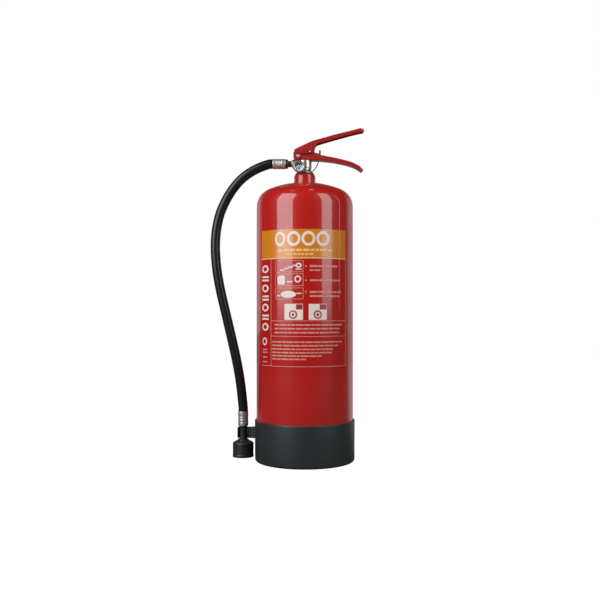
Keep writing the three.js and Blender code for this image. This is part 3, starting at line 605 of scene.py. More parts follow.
hose, hoseExit, hoseLength = makeHose(hoseShape)
finishPiece(hose, hoseRubber, "hose_set", "hose_rubber", "hose")
fittings = []
for name, node, along, place in (
    ("upper_ferrule", "ferrule_top", 0, outletAxis), ("lower_ferrule", "ferrule_bottom", 2, nozzleAxis),
):
    start, end = (corner[along] for corner in lowHigh(node))
    sleeve = turned(name, ferruleOutline(ferruleShape, start, end), 72, place)
    fittings.append(finishPiece(sleeve, zincPlate, "hose_set", "zinc_steel", node))
fittings += [
    finishPiece(makeCoupling(couplingShape), darkBrass, "hose_set", "brass", "hose_coupling"),
    finishPiece(makeNozzleStem(nozzleShape), nozzlePlastic, "hose_set", "nozzle_plastic", "nozzle_stem"),
    finishPiece(makeNozzleHorn(nozzleShape), nozzlePlastic, "hose_set", "nozzle_plastic", "nozzle_horn"),
]
print("hose and nozzle made")


# vessel: two domed ends and a straight wall
vesselShape = {"crown": 180.0, "knuckle": 34.0, "wall": 1.5, "neckHole": 17.5, "steps": 20}
shellLow, shellHigh = lowHigh("cylinder_shell")
vesselRadius = shellHigh.x
crownDrop = vesselShape["crown"] - math.sqrt(vesselShape["crown"] ** 2 - vesselShape["neckHole"] ** 2)
crownTop = shellHigh.z + crownDrop


def domeLine(v, inset, seam, up):
    radius, crown, knuckle = vesselRadius - inset, v["crown"] - inset, v["knuckle"] - inset
    rise = math.sqrt((crown - knuckle) ** 2 - (radius - knuckle) ** 2)
    turn = math.atan2(rise, radius - knuckle)
    line = []
    for i in range(v["steps"] + 1):
        a = turn * i / v["steps"]
        line.append((radius - knuckle + knuckle * math.cos(a), seam + up * knuckle * math.sin(a)))
    for i in range(1, v["steps"] + 1):
        a = turn + (math.pi / 2 - turn) * i / v["steps"]
        line.append((max(0.0, crown * math.cos(a)), seam + up * (crown * math.sin(a) - rise)))
    return line


def makeVessel(v):
    rise = v["crown"] - math.sqrt((v["crown"] - v["knuckle"]) ** 2 - (vesselRadius - v["knuckle"]) ** 2)
    upper, lower = crownTop - rise, shellLow.z + rise
    walls = []
    for inset in (0.0, v["wall"]):
        top = domeLine(v, inset, upper, 1)
        bottom = domeLine(v, inset, lower, -1)
        edge = [p for p in top if p[0] > v["neckHole"]]
        z = top[-1][1] - (v["crown"] - inset) + math.sqrt((v["crown"] - inset) ** 2 - v["neckHole"] ** 2)
        bottom[-1] = (0.0, bottom[-1][1])
        walls.append(bottom[::-1] + edge + [(v["neckHole"], z)])
    return turned("vessel", walls[0] + walls[1][::-1], 192, sharp=50)


finishPiece(makeVessel(vesselShape), redPaint, "root", "red_paint", "cylinder_shell")

neckShape = {"edge": 3.8, "pocket": 2.3}


def makeNeck(n):
    low, high = lowHigh("neck_ring")
    bore = lowHigh("neck_seal")[1].x - 2.0
    foot = crownTop - vesselShape["crown"] + math.sqrt(vesselShape["crown"] ** 2 - high.x ** 2) + seatGap
    spigot = vesselShape["neckHole"] - seatGap
    corners = [
        (bore, low.z, 0.5), (spigot, low.z, 0.6), (spigot, foot), (high.x, foot, 0.2),
        (high.x, high.z, n["edge"]), (bore + n["pocket"], high.z, 0.2), (bore + n["pocket"], high.z - n["pocket"]),
        (bore, high.z - n["pocket"]),
    ]
    return turned("neck_boss", corners, 96)


finishPiece(makeNeck(neckShape), redPaint, "root", "red_paint", "neck_ring")
print("vessel made")


# foot: the moulded cup with its nozzle cradle
footShape = {
    "floor": 3.0, "edge": 5.0, "lip": 2.4, "innerLip": 0.4, "draft": 0.6, "drains": 4, "drainRadius": 6.0,
    "drainCircle": 46.0,
}
cradleShape = {"bottom": 42.0, "height": 19.9, "room": 8.0, "wall": 2.6, "reach": 6.5, "web": 13.0, "flare": 3.0}


def makeFoot(f, c):
    high = lowHigh("base_foot")[1]
    inside = vesselRadius + seatGap
    cup = turned("foot", [
        (0, 0), (high.x - f["draft"], 0, f["edge"]), (high.x, high.z, f["lip"]), (inside, high.z, f["innerLip"]),
        (inside, f["floor"], 3.0), (0, f["floor"]),
    ], 192)
    room, outer, top = c["room"], c["room"] + c["wall"], c["bottom"] + c["height"]
    tip = c["wall"] / 2 * 0.98
    fork = plate("fork", [
        (nozzleX - outer, -c["reach"], tip), (nozzleX - outer, outer, outer * 0.999),
        (nozzleX + outer, outer, outer * 0.999), (nozzleX + outer, -c["reach"], tip),
        (nozzleX + room, -c["reach"], tip), (nozzleX + room, room, room * 0.999),
        (nozzleX - room, room, room * 0.999), (nozzleX - room, -c["reach"], tip),
    ], c["bottom"], top, "XY")
    half = c["web"] / 2
    webRoot, webTip = -inside - 0.6, nozzleX + outer - 0.8
    web = plate("web", mirrored([
        (webTip, -half + 1), (webRoot - 5, -half, 4), (webRoot, -half - c["flare"]),
    ]), c["bottom"], top, "XY")
    bevelled(fork, 0.5, 2)
    drains = []
    for c, s in circle(f["drains"]):
        spot = standing(f["drainCircle"] * c, f["drainCircle"] * s)
        drains.append(rod("drain", f["drainRadius"], -1, f["floor"] + 1, matrix=spot))
    carve(cup, "UNION", web, fork)
    return carve(cup, "DIFFERENCE", *drains)


finishPiece(makeFoot(footShape, cradleShape), footPlastic, "root", "foot_plastic", "base_foot")
print("foot made")


# valve head: a nickel-plated forging with an outlet boss and a gauge boss
valveShape = {
    "spigot": 12.8, "flange": 15.5, "flangeTop": 2.9, "flareTop": 7.9, "waist": 12.0, "waistTop": 10.5,
    "step": 1.2, "radius": 12.8, "collar": 7.0, "collarHeight": 6.8, "spigotLength": 28.0, "outlet": 8.4,
    "outletTip": 6.85, "outletRoot": 9.6, "outletBore": 4.6, "outletFloor": 13.0, "gaugeBoss": 5.6, "gaugeBore": 3.6,
    "gaugeFloor": 6.5, "stemBore": 3.3, "glandBore": 5.0, "glandDepth": 7.8, "chamber": 8.0, "chamberTop": 8.2,
    "throat": 4.0, "upperChamber": 5.5,
}
gaugeX = sum(v.x for v in lowHigh("gauge_bezel")) / 2
gaugeZ = sum(v.z for v in lowHigh("gauge_bezel")) / 2
gaugeAxis = alongY(gaugeX, gaugeZ)


def makeValve(v):
    low, high = lowHigh("valve_body")
    shoulder = high.z - v["collarHeight"]
    face = low.z + v["spigotLength"]
    body = turned("valve_head", [
        (0, low.z), (v["spigot"], low.z, 1), (v["spigot"], face), (v["flange"], face, 0.5),
        (v["flange"], face + v["flangeTop"], 0.8), (v["waist"], face + v["flareTop"], 3),
        (v["waist"], face + v["waistTop"], 1), (v["radius"], face + v["waistTop"] + v["step"], 0.8),
        (v["radius"], shoulder, 0.6), (v["collar"], shoulder, 0.3), (v["collar"], high.z, 0.6), (0, high.z),
    ], 96)
    boss = turned("outlet", [
        (0, low.x), (v["outletTip"], low.x, 0.6), (v["outletTip"], low.x + 0.6), (v["outlet"], low.x + 2.2, 0.8),
        (v["outlet"], -v["outletRoot"]), (0, -v["outletRoot"]),
    ], 72, outletAxis)
    port = turned("port", [
        (0, low.y), (v["gaugeBoss"], low.y, 0.8), (v["gaugeBoss"] + 0.8, -2), (0, -2),
    ], 48, gaugeAxis)
    outletHole = rod("outletHole", v["outletBore"], low.x - 1, -v["outletFloor"], 48, outletAxis)
    gaugeHole = rod("gaugeHole", v["gaugeBore"], low.y - 1, -v["gaugeFloor"], 32, gaugeAxis)
    glandFloor = high.z - v["glandDepth"]
    glandHole = turned("glandHole", [
        (0, glandFloor - 4), (v["stemBore"], glandFloor - 4), (v["stemBore"], glandFloor),
        (v["glandBore"], glandFloor), (v["glandBore"], high.z + 1), (0, high.z + 1),
    ], 48)
    seat = face + v["chamberTop"]
    flowHole = turned("flowHole", [
        (0, low.z - 1), (v["chamber"], low.z - 1), (v["chamber"], seat), (v["throat"], seat),
        (v["throat"], seat + 4.5), (v["upperChamber"], seat + 5.5), (v["upperChamber"], glandFloor - 2),
        (0, glandFloor - 2),
    ], 48)
    carve(body, "UNION", boss, port)
    carve(body, "DIFFERENCE", outletHole, gaugeHole, glandHole, flowHole)
    return bevelled(body, 0.35, 3, 30.0)


finishPiece(makeValve(valveShape), nickelPlate, "root", "nickel", "valve_body")

for node, material in (
    ("neck_seal", sealRubber), ("handle_clip", brightWire), ("stem_gland", darkBrass), ("stem_seal", sealRubber),
    ("valve_stem", darkBrass), ("seat_disc", sealRubber), ("tube_nut", whitePlastic),
    ("dip_tube", whitePlastic), ("tube_strainer", nozzlePlastic),
):
    paint(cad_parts[node], material)
print("valve head made")


# spring under the stem, which closes up as the stem goes down; it is made here as one helix at a fixed length
springShape = {"radius": 5.6, "wire": 0.7, "turns": 7, "steps": 36, "travel": 3.0}


def makeSpring(s):
    low, high = lowHigh("valve_spring")
    start, end = low.z + s["wire"], high.z - s["wire"]
    count = s["turns"] * s["steps"]
    line = []
    for i in range(count + 1):
        angle = 2 * math.pi * i / s["steps"]
        line.append(Vector((
            s["radius"] * math.cos(angle), s["radius"] * math.sin(angle), start + (end - start) * i / count,
        )))
    curve = curvePiece("spring_line", line, s["wire"], 3)
    wire = placed("stem_spring", finalMesh(curve))
    bpy.data.objects.remove(curve)
    finishPiece(cleaned(wire), brightWire, "root", "spring_steel", "valve_spring")
    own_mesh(wire)


makeSpring(springShape)


# gauge
gaugeShape = {"neck": 3.3, "hub": 5.2, "wall": 1.8, "lap": 0.7}


def makeGauge(g):
    case, bezel, dial, lens = (lowHigh("gauge_" + part) for part in ("case", "bezel", "dial", "lens"))
    front, top, rim = case[0].y, case[1].y, bezel[0].y
    caseRadius = (case[1].x - case[0].x) / 2
    cavity = (dial[1].x - dial[0].x) / 2 + seatGap
    radius = (bezel[1].x - bezel[0].x) / 2
    back = dial[1].y + seatGap + g["wall"]
    hub, floor, lap, sleeve = back + g["wall"], back - g["wall"], cavity - g["lap"], caseRadius + seatGap
    dialRadius = cavity - seatGap
    for name, sides, material, slotName, node, outline in (
        ("gauge_body", 72, nickelPlate, "nickel", "gauge_case", [
            (0, top), (g["neck"], top, 0.4), (g["neck"], hub), (g["hub"], hub, 0.4), (g["hub"], back),
            (caseRadius, back, 1.4), (caseRadius, front), (cavity, front), (cavity, floor), (0, floor),
        ]),
        ("gauge_ring", 96, nickelPlate, "nickel", "gauge_bezel", [
            (lap, rim + 0.45, 0.3), (cavity, rim, 0.4), (radius - 0.5, rim, 0.5), (radius, rim + 0.6, 0.4),
            (radius, bezel[1].y, 0.3), (sleeve, bezel[1].y), (sleeve, rim + 1), (lap, rim + 1),
        ]),
        ("gauge_face", 72, makeDialMaterial(dialShape), "dial", "gauge_dial", [
            (0, dial[0].y), (dialRadius, dial[0].y), (dialRadius, dial[1].y), (0, dial[1].y),
        ]),
        ("gauge_glass", 72, makeGlass(), "clear_lens", "gauge_lens", [
            (0, lens[0].y), (dialRadius, lens[0].y, 0.2), (dialRadius, lens[1].y), (0, lens[1].y),
        ]),
    ):
        finishPiece(turned(name, outline, sides, gaugeAxis), material, "root", slotName, node)


# dial: a dark arc over the top with short ticks, drawn by angle and distance from the centre
dialShape = {
    "drop": 1.0, "arc": 6.7, "arcHalf": 0.95, "reach": 1.2, "middle": 0.42, "ticks": 8.5, "tickHalf": 0.35,
    "tickPitch": 7.4, "tickWidth": 0.10, "dark": (0.06, 0.05, 0.05), "green": (0.03, 0.10, 0.04),
    "tickTone": (0.05, 0.05, 0.05),
}


def makeDialMaterial(d):
    material = makeFinish("dialPrint", (0.60, 0.61, 0.62), (0.56, 0.57, 0.58), (0.4, 0.5), 0.02, dust=0.0)
    tree = material.node_tree
    target = tree.nodes["Principled BSDF"].inputs["Base Color"]
    ground = target.links[0].from_socket
    offset = vectorMath(tree, "SUBTRACT", outputOf(tree, "TexCoord", "Object"))
    offset.inputs[1].default_value = (gaugeX * mm, 0, (gaugeZ - d["drop"]) * mm)
    split = splitVector(tree, offset.outputs[0])
    x, z = split.outputs["X"], split.outputs["Z"]
    angle = math2(tree, "ARCTAN2", x, z)
    aside = math2(tree, "ABSOLUTE", angle)
    distance = math2(tree, "SQRT", math2(tree, "ADD", times(tree, x, x), times(tree, z, z)))

    def ringMask(radius, half):
        ring = math2(tree, "COMPARE", distance, radius * mm)
        ring.node.inputs[2].default_value = half * mm
        return times(tree, ring, math2(tree, "LESS_THAN", aside, d["reach"]))

    colour = mixColours(tree, math2(tree, "LESS_THAN", aside, d["middle"]), d["dark"], d["green"])
    drawn = mixColours(tree, ringMask(d["arc"], d["arcHalf"]), ground, colour)
    wave = math2(tree, "ABSOLUTE", math2(tree, "SINE", times(tree, angle, d["tickPitch"])))
    tick = times(tree, math2(tree, "LESS_THAN", wave, d["tickWidth"]), ringMask(d["ticks"], d["tickHalf"]))
    join(tree, mixColours(tree, tick, drawn, d["tickTone"]), target)
    return material


def makeGlass():
    material, tree, shader = newMaterial("gaugeGlass")
    grain = useGroup(tree, grainGroup, Fineness=160.0, Patches=60.0)
    join(tree, remap(tree, grain.outputs["Mottle"], 0.3, 0.7, 0.0, 0.008), shader.inputs["Roughness"])
    setInputs(shader, Base_Color=(0.97, 0.98, 0.98, 1), Transmission_Weight=1.0, IOR=1.46)
    clear = addNode(tree, "BsdfTransparent")
    mix = addNode(tree, "MixShader")
    join(tree, outputOf(tree, "LightPath", "Is Shadow Ray"), mix.inputs[0])
    join(tree, shader.outputs[0], mix.inputs[1])
    join(tree, clear.outputs[0], mix.inputs[2])
    join(tree, mix.outputs[0], tree.nodes["Material Output"].inputs["Surface"])
    return material


makeGauge(gaugeShape)
paint(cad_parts["gauge_needle"], needlePaint)
print("gauge made")


# lever and carry handle: pressed steel channels, from side and plan outlines
pressedSheet = {"cheek": 1.6, "web": 1.8, "edge": 0.55}
shoulder = lowHigh("valve_body")[1].z - valveShape["collarHeight"]
leverShape = {
    "head": 25.0, "grip": 20.0, "tip": 111.4,
    "narrowing": (17, 31, 14, 7),  # where the plan narrows, its corners' radius, and the tip's
    "planHeights": ((520, 660), (500, 680)),
    "heel": (-18.8, 20.53, 2.5),
    "bend": (10.5, 34.33, 26),
    "top": [(22, 38.33, 60), (54.1, 47.7), (82.6, 54.6), (103, 60)],
    "under": [
        (111.4, 58.9, 3), (110.8, 53.4, 3), (104, 53, 8), (83.8, 47.9), (54.9, 39.9), (23.1, 30.7, 3),
        (19.8, 26.8, 4), (17, 12.9, 1.8), (-7.4, 11.3, 2), (-7.9, -1.1, 5.5), (-18.4, -1.1, 4.5), (-21.9, 11.3, 5),
    ],
    "pivot": (-12.0, shoulder + 7.33, 2.8),
    "pin": (9.4, shoulder + 15.36, 1.9),
}


# outline corners with their heights counted from the valve's shoulder
def aboveValve(corners):
    return [(x, shoulder + height, *more) for x, height, *more in corners]


# a channel pressed from sheet: a side outline cut to its plan, less its hollow and its holes
def makeChannel(name, half, side, plan, heights, hollow, tools):
    channel = plate(name, aboveValve(side), -half - 1, half + 1)
    carve(channel, "INTERSECT", plate("plan", plan(0, -30), *heights[0], "XY"))
    inside = plate("hollow", aboveValve(hollow), -half, half)
    carve(inside, "INTERSECT", plate("plan", plan(pressedSheet["cheek"], -45), *heights[1], "XY"))
    carve(channel, "DIFFERENCE", inside, *tools)
    return bevelled(channel, pressedSheet["edge"], 3, 36.0)


def makeLever(s, web):
    half, grip = s["head"] / 2, s["grip"] / 2
    (heelX, heelZ, _), (bendX, bendZ, _) = s["heel"], s["bend"]
    slope = (bendZ - heelZ) / (bendX - heelX)
    first, last, bend, tipRound = s["narrowing"]
    under = heelZ - heelX * slope - web * math.hypot(1, slope)  # height of the web's underside at x = 0

    def plan(inset, back):
        tip = s["tip"] - inset
        return mirrored([
            (back, -half + inset), (first, -half + inset, bend), (last, -grip + inset, bend),
            (tip, -grip + inset, tipRound - inset),
        ])

    start, end = bendX + 0.2, s["tip"] + 2
    hollow = [
        (-40, under - 40 * slope), (start, under + start * slope, 24),
        *((x + 0.3, z - web, *more) for x, z, *more in s["top"]),
        (end, s["top"][-1][1] - web - 3), (end, -40), (-40, -40),
    ]
    holes = [rod("hole", r, -20, 20, matrix=alongY(x, z)) for x, z, r in (s["pivot"], s["pin"])]
    side = [s["heel"], s["bend"], *s["top"], *s["under"]]
    return makeChannel("squeeze_grip", half, side, plan, s["planHeights"], hollow, holes)


lever = makeLever(leverShape, pressedSheet["web"])
finishPiece(lever, handlePaintWithShade, "lever", "red_paint", "squeeze_lever")

handleShape = {
    "width": 20.4, "tip": 109.4, "ear": 4.6, "floor": 0.3, "openBack": -8.8, "collarHole": 7.3,
    "slot": (7.4, 12.39, 569.05),
    "planHeights": ((500, 620), (500, 640)),
    "over": [
        (-9, 13.3, 6), (17.2, 14.7, 8), (26.4, 12.7, 5), (31.3, 9.5, 9), (56.1, 4.9), (85.6, -2.2, 50),
        (102, -10.4, 12), (109.4, -16.9, 2.2), (108, -20.6, 1.4), (105.8, -20.8, 1.4),
    ],
    "under": [(97.8, -15.2, 16), (85.7, -9.3, 50), (54.9, -2.7)],
}


def makeHandle(s, web):
    half = s["width"] / 2
    pivotX, pivotZ, pivotHole = leverShape["pivot"]
    ear, floor = s["ear"], s["floor"]

    def plan(inset, back):
        tip = s["tip"] - inset
        return mirrored([(back, -half + inset), (tip, -half + inset, 7 - inset)])

    earTop, earLow = pivotZ - shoulder + ear, pivotZ - shoulder - ear
    side = [
        (pivotX - ear, earTop, 4.5), *s["over"], *s["under"], (28, floor, 14), (pivotX + 3, floor, 2),
        (pivotX + 2, earLow, 1), (pivotX - ear, earLow, 4.5),
    ]
    endX, endZ, _ = s["over"][-1]
    hollow = [
        (-40, floor + web), (28, floor + web, 14),
        *((x + 0.4, z + web, *more) for x, z, *more in s["under"][::-1]),
        (endX + 0.2, endZ + web, 1), (s["tip"] + 3, -16), (s["tip"] + 3, 60), (-40, 60),
    ]
    inner = half - web
    left, right, bottom = s["slot"]
    tools = [
        plate("back", [(-40, 550), (s["openBack"], 550), (s["openBack"], 590), (-40, 590)], -inner, inner),
        plate("slot", [(left, bottom, 0.4), (right, bottom, 0.4), (right, 590), (left, 590)], -20, 20),
        rod("hole", pivotHole, -20, 20, matrix=alongY(pivotX, pivotZ)),
        rod("hole", s["collarHole"], 550, 580, 48),
    ]
    return makeChannel("carry_grip", half, side, plan, s["planHeights"], hollow, tools)


handle = makeHandle(handleShape, pressedSheet["cheek"])
finishPiece(handle, handlePaintWithShade, "root", "red_paint", "carry_handle")
print("lever and handle made")


# rivet, safety pin, pull ring and seal strap
rivetShape = {"shank": 2.5, "dome": 0.7, "domeEdge": 1.2, "rim": 0.4}


def makeRivet(r):
    low, high = lowHigh("lever_rivet")
    x, z, _ = leverShape["pivot"]
    radius, shank = (high.x - low.x) / 2, r["shank"]
    cheek = leverShape["head"] / 2 + seatGap
    return turned("pivot_rivet", [
        (0, low.y), (radius * r["dome"], low.y + 0.1, r["domeEdge"]), (radius, -cheek - r["rim"], 0.5),
        (radius, -cheek), (shank, -cheek), (shank, cheek), (radius, cheek), (radius, cheek + r["rim"], 0.5),
        (radius * r["dome"], high.y - 0.1, r["domeEdge"]), (0, high.y),
    ], 48, alongY(x, z))


def torusPiece(name, radius, section, matrix):
    corners = [(radius + section * c, section * s) for c, s in circle(16)]
    return turned(name, corners, 96, matrix, sharp=60)


finishPiece(makeRivet(rivetShape), zincPlate, "root", "zinc_steel", "lever_rivet")
ringLow, ringHigh = lowHigh("pull_ring")
ringWire = (ringHigh.x - ringLow.x) / 2
pullRing = torusPiece(
    "finger_ring", (ringHigh.y - ringLow.y) / 2 - ringWire, ringWire,
    Matrix.Translation((ringLow + ringHigh) / 2 * mm) @ Matrix.Rotation(math.pi / 2, 4, "Y"),
)
finishPiece(pullRing, brightWire, "pin", "spring_steel", "pull_ring")

pinShape = {
    "radius": 1.6, "tip": 14.8, "plate": 25.5, "collar": 2.8, "eye": 1.5, "thickness": 1.8, "lug": 5.0,
    "lugHalf": 3.4, "lugTop": 2.4, "lugFoot": 3.2,
}


def makePin(p):
    x, z, _ = leverShape["pin"]
    half = leverShape["head"] / 2
    shank = turned("locking_pin", [
        (0, -p["tip"]), (p["radius"], -p["tip"], 1.3), (p["radius"], half + seatGap),
        (p["collar"], half + seatGap, 0.3),
        (p["collar"], half + 1.5, 0.3), (p["radius"], half + 1.5), (p["radius"], p["plate"]), (0, p["plate"]),
    ], 48, alongY(x, z))
    left, right, low, high = x - p["lugHalf"], x + p["lugHalf"], z - p["lug"] - p["lugFoot"], z + p["lugTop"]
    outline = [(left, high, 2.2), (left, low, 3.2), (right, low, 3.2), (right, high, 2.2)]
    lug = plate("lug", outline, p["plate"] - p["thickness"] / 2, p["plate"] + p["thickness"] / 2)
    eye = rod("eye", p["eye"], 10, 60, matrix=alongY(x, z - p["lug"]))
    carve(shank, "UNION", lug)
    carve(shank, "DIFFERENCE", eye)
    return bevelled(shank, 0.25, 2, 40.0)


finishPiece(makePin(pinShape), zincPlate, "pin", "zinc_steel", "safety_pin")

strapShape = {
    "section": 0.9, "tag": 1.6, "tagLength": 8.5, "tagFoot": 15.5,
    "root": [(11.41, 12.21, 0), (12.31, 13.21, 2.4)],
    "tail": [
        (14, -18.7), (18, -13.5), (21.7, -8.7), (24.8, -2.1), (27.1, 4.3), (28.5, 12.3), (28.9, 18),
    ],
}


def makeStrap(s):
    loopZ = lowHigh("neck_ring")[1].z + s["section"] + 0.35
    tailY = leverShape["head"] / 2 + seatGap + s["tag"]
    radius = valveShape["flange"] + seatGap + s["section"]
    loop = torusPiece("seal_loop", radius, s["section"], standing(0, 0, loopZ))
    spots = [Vector((x, y, loopZ + rise)) for x, y, rise in s["root"]]
    spots += [Vector((x, tailY, z)) for x, z in aboveValve(s["tail"])]
    tail = curvePiece("seal_tail", throughPoints(spots, 6), s["section"], 5)
    foot, top = shoulder + s["tagFoot"], shoulder + s["tagFoot"] + s["tagLength"]
    tag = rod("seal_tag", s["tag"], foot, top, 40, standing(s["tail"][-1][0], tailY), 1.2)
    return loop, tail, tag


for strapPiece in makeStrap(strapShape):
    finishPiece(strapPiece, strapPlastic, "root", "strap_plastic", "seal_strap")
print("pin, ring and strap made")


# printed front: bare shapes in the label's colours, laid on the vessel's wall
# places are (arc length from the front, height) in millimetres
printShape = {
    "lift": 0.05, "inkLift": 0.13, "markLift": 0.21, "thickness": 0.05,
    "band": (-93.9, 85.2, 373.0, 423.3), "underline": 1.7,
    "frame": {"left": -67.0, "right": 85.2, "bottom": 180.2, "rules": (261.2, 234.0), "line": 1.1},
    "windows": ((347.3, 368.1), (323.1, 345.0), (299.5, 319.9)),
    "windowSides": (-55.7, -2.9, 1.0),
    "steps": ((356.2, 359.6, 62), (349.4, 352.0, 33), (331.2, 334.4, 72), (310.8, 314.0, 74), (303.4, 306.6, 70)),
    "stepsLeft": 8.4,
    "dots": (1.6, (357.8, 332.8, 312.4), 1.5),
    "notes": (  # left end, half height, first seed, and rows of middle height and right end
        (-58, 1.4, 40, ((254.2, 76), (247.5, 70), (240.6, 68))),
        (-63.5, 1.3, 60, ((223.9, 78), (217.6, 66), (211.3, 52), (205.3, 54), (199.5, 30), (193.7, 2))),
    ),
    "sideNotes": (-90, -76, (209.5, 204.5, 196, 187.5), 1.1),
    "rings": ((-46.5, 10.6), (-20.4, 12.4), (6.0, 12.4), (32.6, 12.4)),
    "ringMiddle": (406.6, 13.2, 0.62),
    "windowBars": (  # window, left and right ends, lower and upper sides above the window's foot, corner
        *((0, -46 + 8 * k, -37.5 + 8 * k, 2.8 + 2.6 * k, 5.0 + 2.6 * k, 1.0) for k in range(4)),
        (0, -17, -6, 4.2, 6.0, 0.8), (1, -51.5, -36.5, 2.2, 18.5, 4), (1, -33, -22, 6.2, 8.6, 1.2),
        (2, -53, -46, 5.4, 7.2, 0.8), (2, -15.4, -6, 9.4, 11.4, 0.9),
    ),
    "windowDiscs": (  # window, middle, radius, hole, share of the radius upwards
        (0, -11.5, 12, 5.4, 2.4, 0.9), (1, -13, 12, 6.2, 3.6, 1.0), (2, -30.5, 8.6, 14.5, 0, 0.42),
    ),
    "panels": ((-37.4, -3.6), (6.4, 39.9), (263.2, 291.4)),
    "panelMarks": ((-16, -4.4), (26, 39), (281.4, 290.6)),
    "panelDiscs": ((-21.5, 22.5), 272.5, ((7.6, 5.0), (2.6, 0.0))),
    "column": {"left": -92.6, "right": -72.4, "top": 362.6, "pitch": 17.3, "count": 7},
    "columnEnd": (-84, 224, 7.0, 4.4),
    "bandRules": ((-50, 50, 384.4, 388.4, 3, 6, 14, 2.2), (-34, 15, 377.8, 380.4, 4, 4, 9, 1.8)),
}


# a printed sheet: thin solids bent round the wall
class Print:
    def __init__(self, lift):
        self.bm = bmesh.new()
        self.radius = vesselRadius + lift

    def spot(self, s, z, out=0.0):
        a = s / vesselRadius
        r = (self.radius + out) * mm
        return self.bm.verts.new((r * math.sin(a), -r * math.cos(a), z * mm))

    def bridge(self, first, second):
        for i, a in enumerate(first):
            k = (i + 1) % len(first)
            self.bm.faces.new(list(dict.fromkeys((a, second[i], second[k], first[k]))))

    # a closed thin solid from columns of (s, low, high)
    def strip(self, spans):
        t = printShape["thickness"]
        rows = []
        for s, low, high in spans:
            rows.append([self.spot(s, low), self.spot(s, high), self.spot(s, high, t), self.spot(s, low, t)])
        for a, b in zip(rows, rows[1:]):
            self.bridge(a, b)
        self.bm.faces.new(rows[0][::-1])
        self.bm.faces.new(rows[-1])

    def bar(self, left, right, low, high, corner=0.0, step=2.0):
        inner = max(1, round((right - left - 2 * corner) / step))
        stops = [left + corner + (right - left - 2 * corner) * i / inner for i in range(inner + 1)]
        if corner > 0:
            ends = [corner * (1 - math.cos(math.pi / 2 * i / 4)) for i in range(4)]
            stops = [left + e for e in ends] + stops + [right - e for e in ends[::-1]]
        spans = []
        for s in stops:
            near = min(s - left, right - s, corner)
            cut = corner - math.sqrt(max(0.0, corner ** 2 - (corner - near) ** 2))
            cut = min(cut, (high - low) / 2 - 0.02)
            spans.append((s, low + cut, high - cut))
        self.strip(spans)

    def outlineBox(self, left, right, low, high, line):
        self.bar(left, right, high - line, high)
        self.bar(left, right, low, low + line)
        self.bar(left, left + line, low + line + 0.02, high - line - 0.02)
        self.bar(right - line, right, low + line + 0.02, high - line - 0.02)

    def disc(self, s, z, radius, hole=0.0, upwards=1.0):
        around, steps = circle(40), 1 if hole else 3
        layers = []
        for out in (0.0, printShape["thickness"]):
            rings = []
            for i in range(steps + 1):
                r = hole + (radius - hole) * i / steps
                if r == 0:
                    rings.append([self.spot(s, z, out)] * len(around))
                else:
                    rings.append([self.spot(s + r * c, z + upwards * r * n, out) for c, n in around])
            layers.append(rings)
        for rings in layers:
            for a, b in zip(rings, rings[1:]):
                self.bridge(a, b)
        for edge in ([0, -1] if hole else [-1]):
            self.bridge(layers[0][edge], layers[1][edge])

    def words(self, left, right, low, high, seed, shortest=5.0, longest=15.0, gap=1.1):
        pick = random.Random(seed)  # a broken rule, as small print looks from a step away
        s = left
        while s < right - shortest:
            e = min(right, s + pick.uniform(shortest, longest))
            self.bar(s, e, low, high, min(0.5, (high - low) / 2 - 0.05))
            s = e + gap


def printBand(ink, p):
    ink.bar(*p["band"], 1.2)


# rules, window frames and small print
def printFine(ink, p):
    f = p["frame"]
    left, right, bottom, line = f["left"], f["right"], f["bottom"], f["line"]
    top = p["band"][2] - p["underline"] - 0.15
    ink.bar(left, left + line, bottom, top)
    ink.bar(right - line, right, bottom + 0.02, top)
    ink.bar(p["band"][0] + 2, left - 0.1, bottom, bottom + line)
    for z in (bottom + line / 2, *f["rules"]):
        ink.bar(left + line + 0.05, right - line - 0.05, z - line / 2, z + line / 2)
    start, end, edge = p["windowSides"]
    for low, high in p["windows"]:
        ink.outlineBox(start, end, low, high, edge)
    for i, (low, high, end) in enumerate(p["steps"]):
        ink.words(p["stepsLeft"], end, low, high, 20 + i)
    s, heights, radius = p["dots"]
    for z in heights:
        ink.disc(s, z, radius)
    for start, half, seed, rows in p["notes"]:
        for i, (z, end) in enumerate(rows):
            ink.words(start, end, z - half, z + half, seed + i)
    start, end, heights, half = p["sideNotes"]
    for z in heights:
        ink.bar(start, end, z - half, z + half, 0.8)


# the large shapes: rings on the band, shapes in the windows, two panels and the side column
def printBold(ink, p):
    middle, half, hole = p["ringMiddle"]
    for s, radius in p["rings"]:
        ink.disc(s, middle, radius, radius * hole, half / radius)
    for window, left, right, low, high, corner in p["windowBars"]:
        foot = p["windows"][window][0]
        ink.bar(left, right, foot + low, foot + high, corner)
    for window, s, z, *rest in p["windowDiscs"]:
        ink.disc(s, p["windows"][window][0] + z, *rest)
    *panels, heights = p["panels"]
    for left, right in panels:
        ink.bar(left, right, *heights, 1.0)
    c = p["column"]
    for i in range(c["count"]):
        z = c["top"] - c["pitch"] * (i + 0.5)
        if i % 2:
            ink.bar(c["left"], c["right"], z + 1.4, z + 4.6, 1.2, 1.0)
            ink.bar(c["left"], c["right"], z - 4.6, z - 1.4, 1.2, 1.0)
        else:
            ink.disc((c["left"] + c["right"]) / 2, z, 9.8, 5.6, 0.72)
    ink.disc(*p["columnEnd"])


def printBandRules(ink, p):
    for rule in p["bandRules"]:
        ink.words(*rule)
    left, right, low, _ = p["band"]
    ink.bar(left, right, low - p["underline"], low - 0.05)


def printMarks(ink, p):
    *marks, heights = p["panelMarks"]
    for left, right in marks:
        ink.bar(left, right, *heights, 0.8)
    places, z, discs = p["panelDiscs"]
    for s in places:
        for radius, hole in discs:
            ink.disc(s, z, radius, hole)


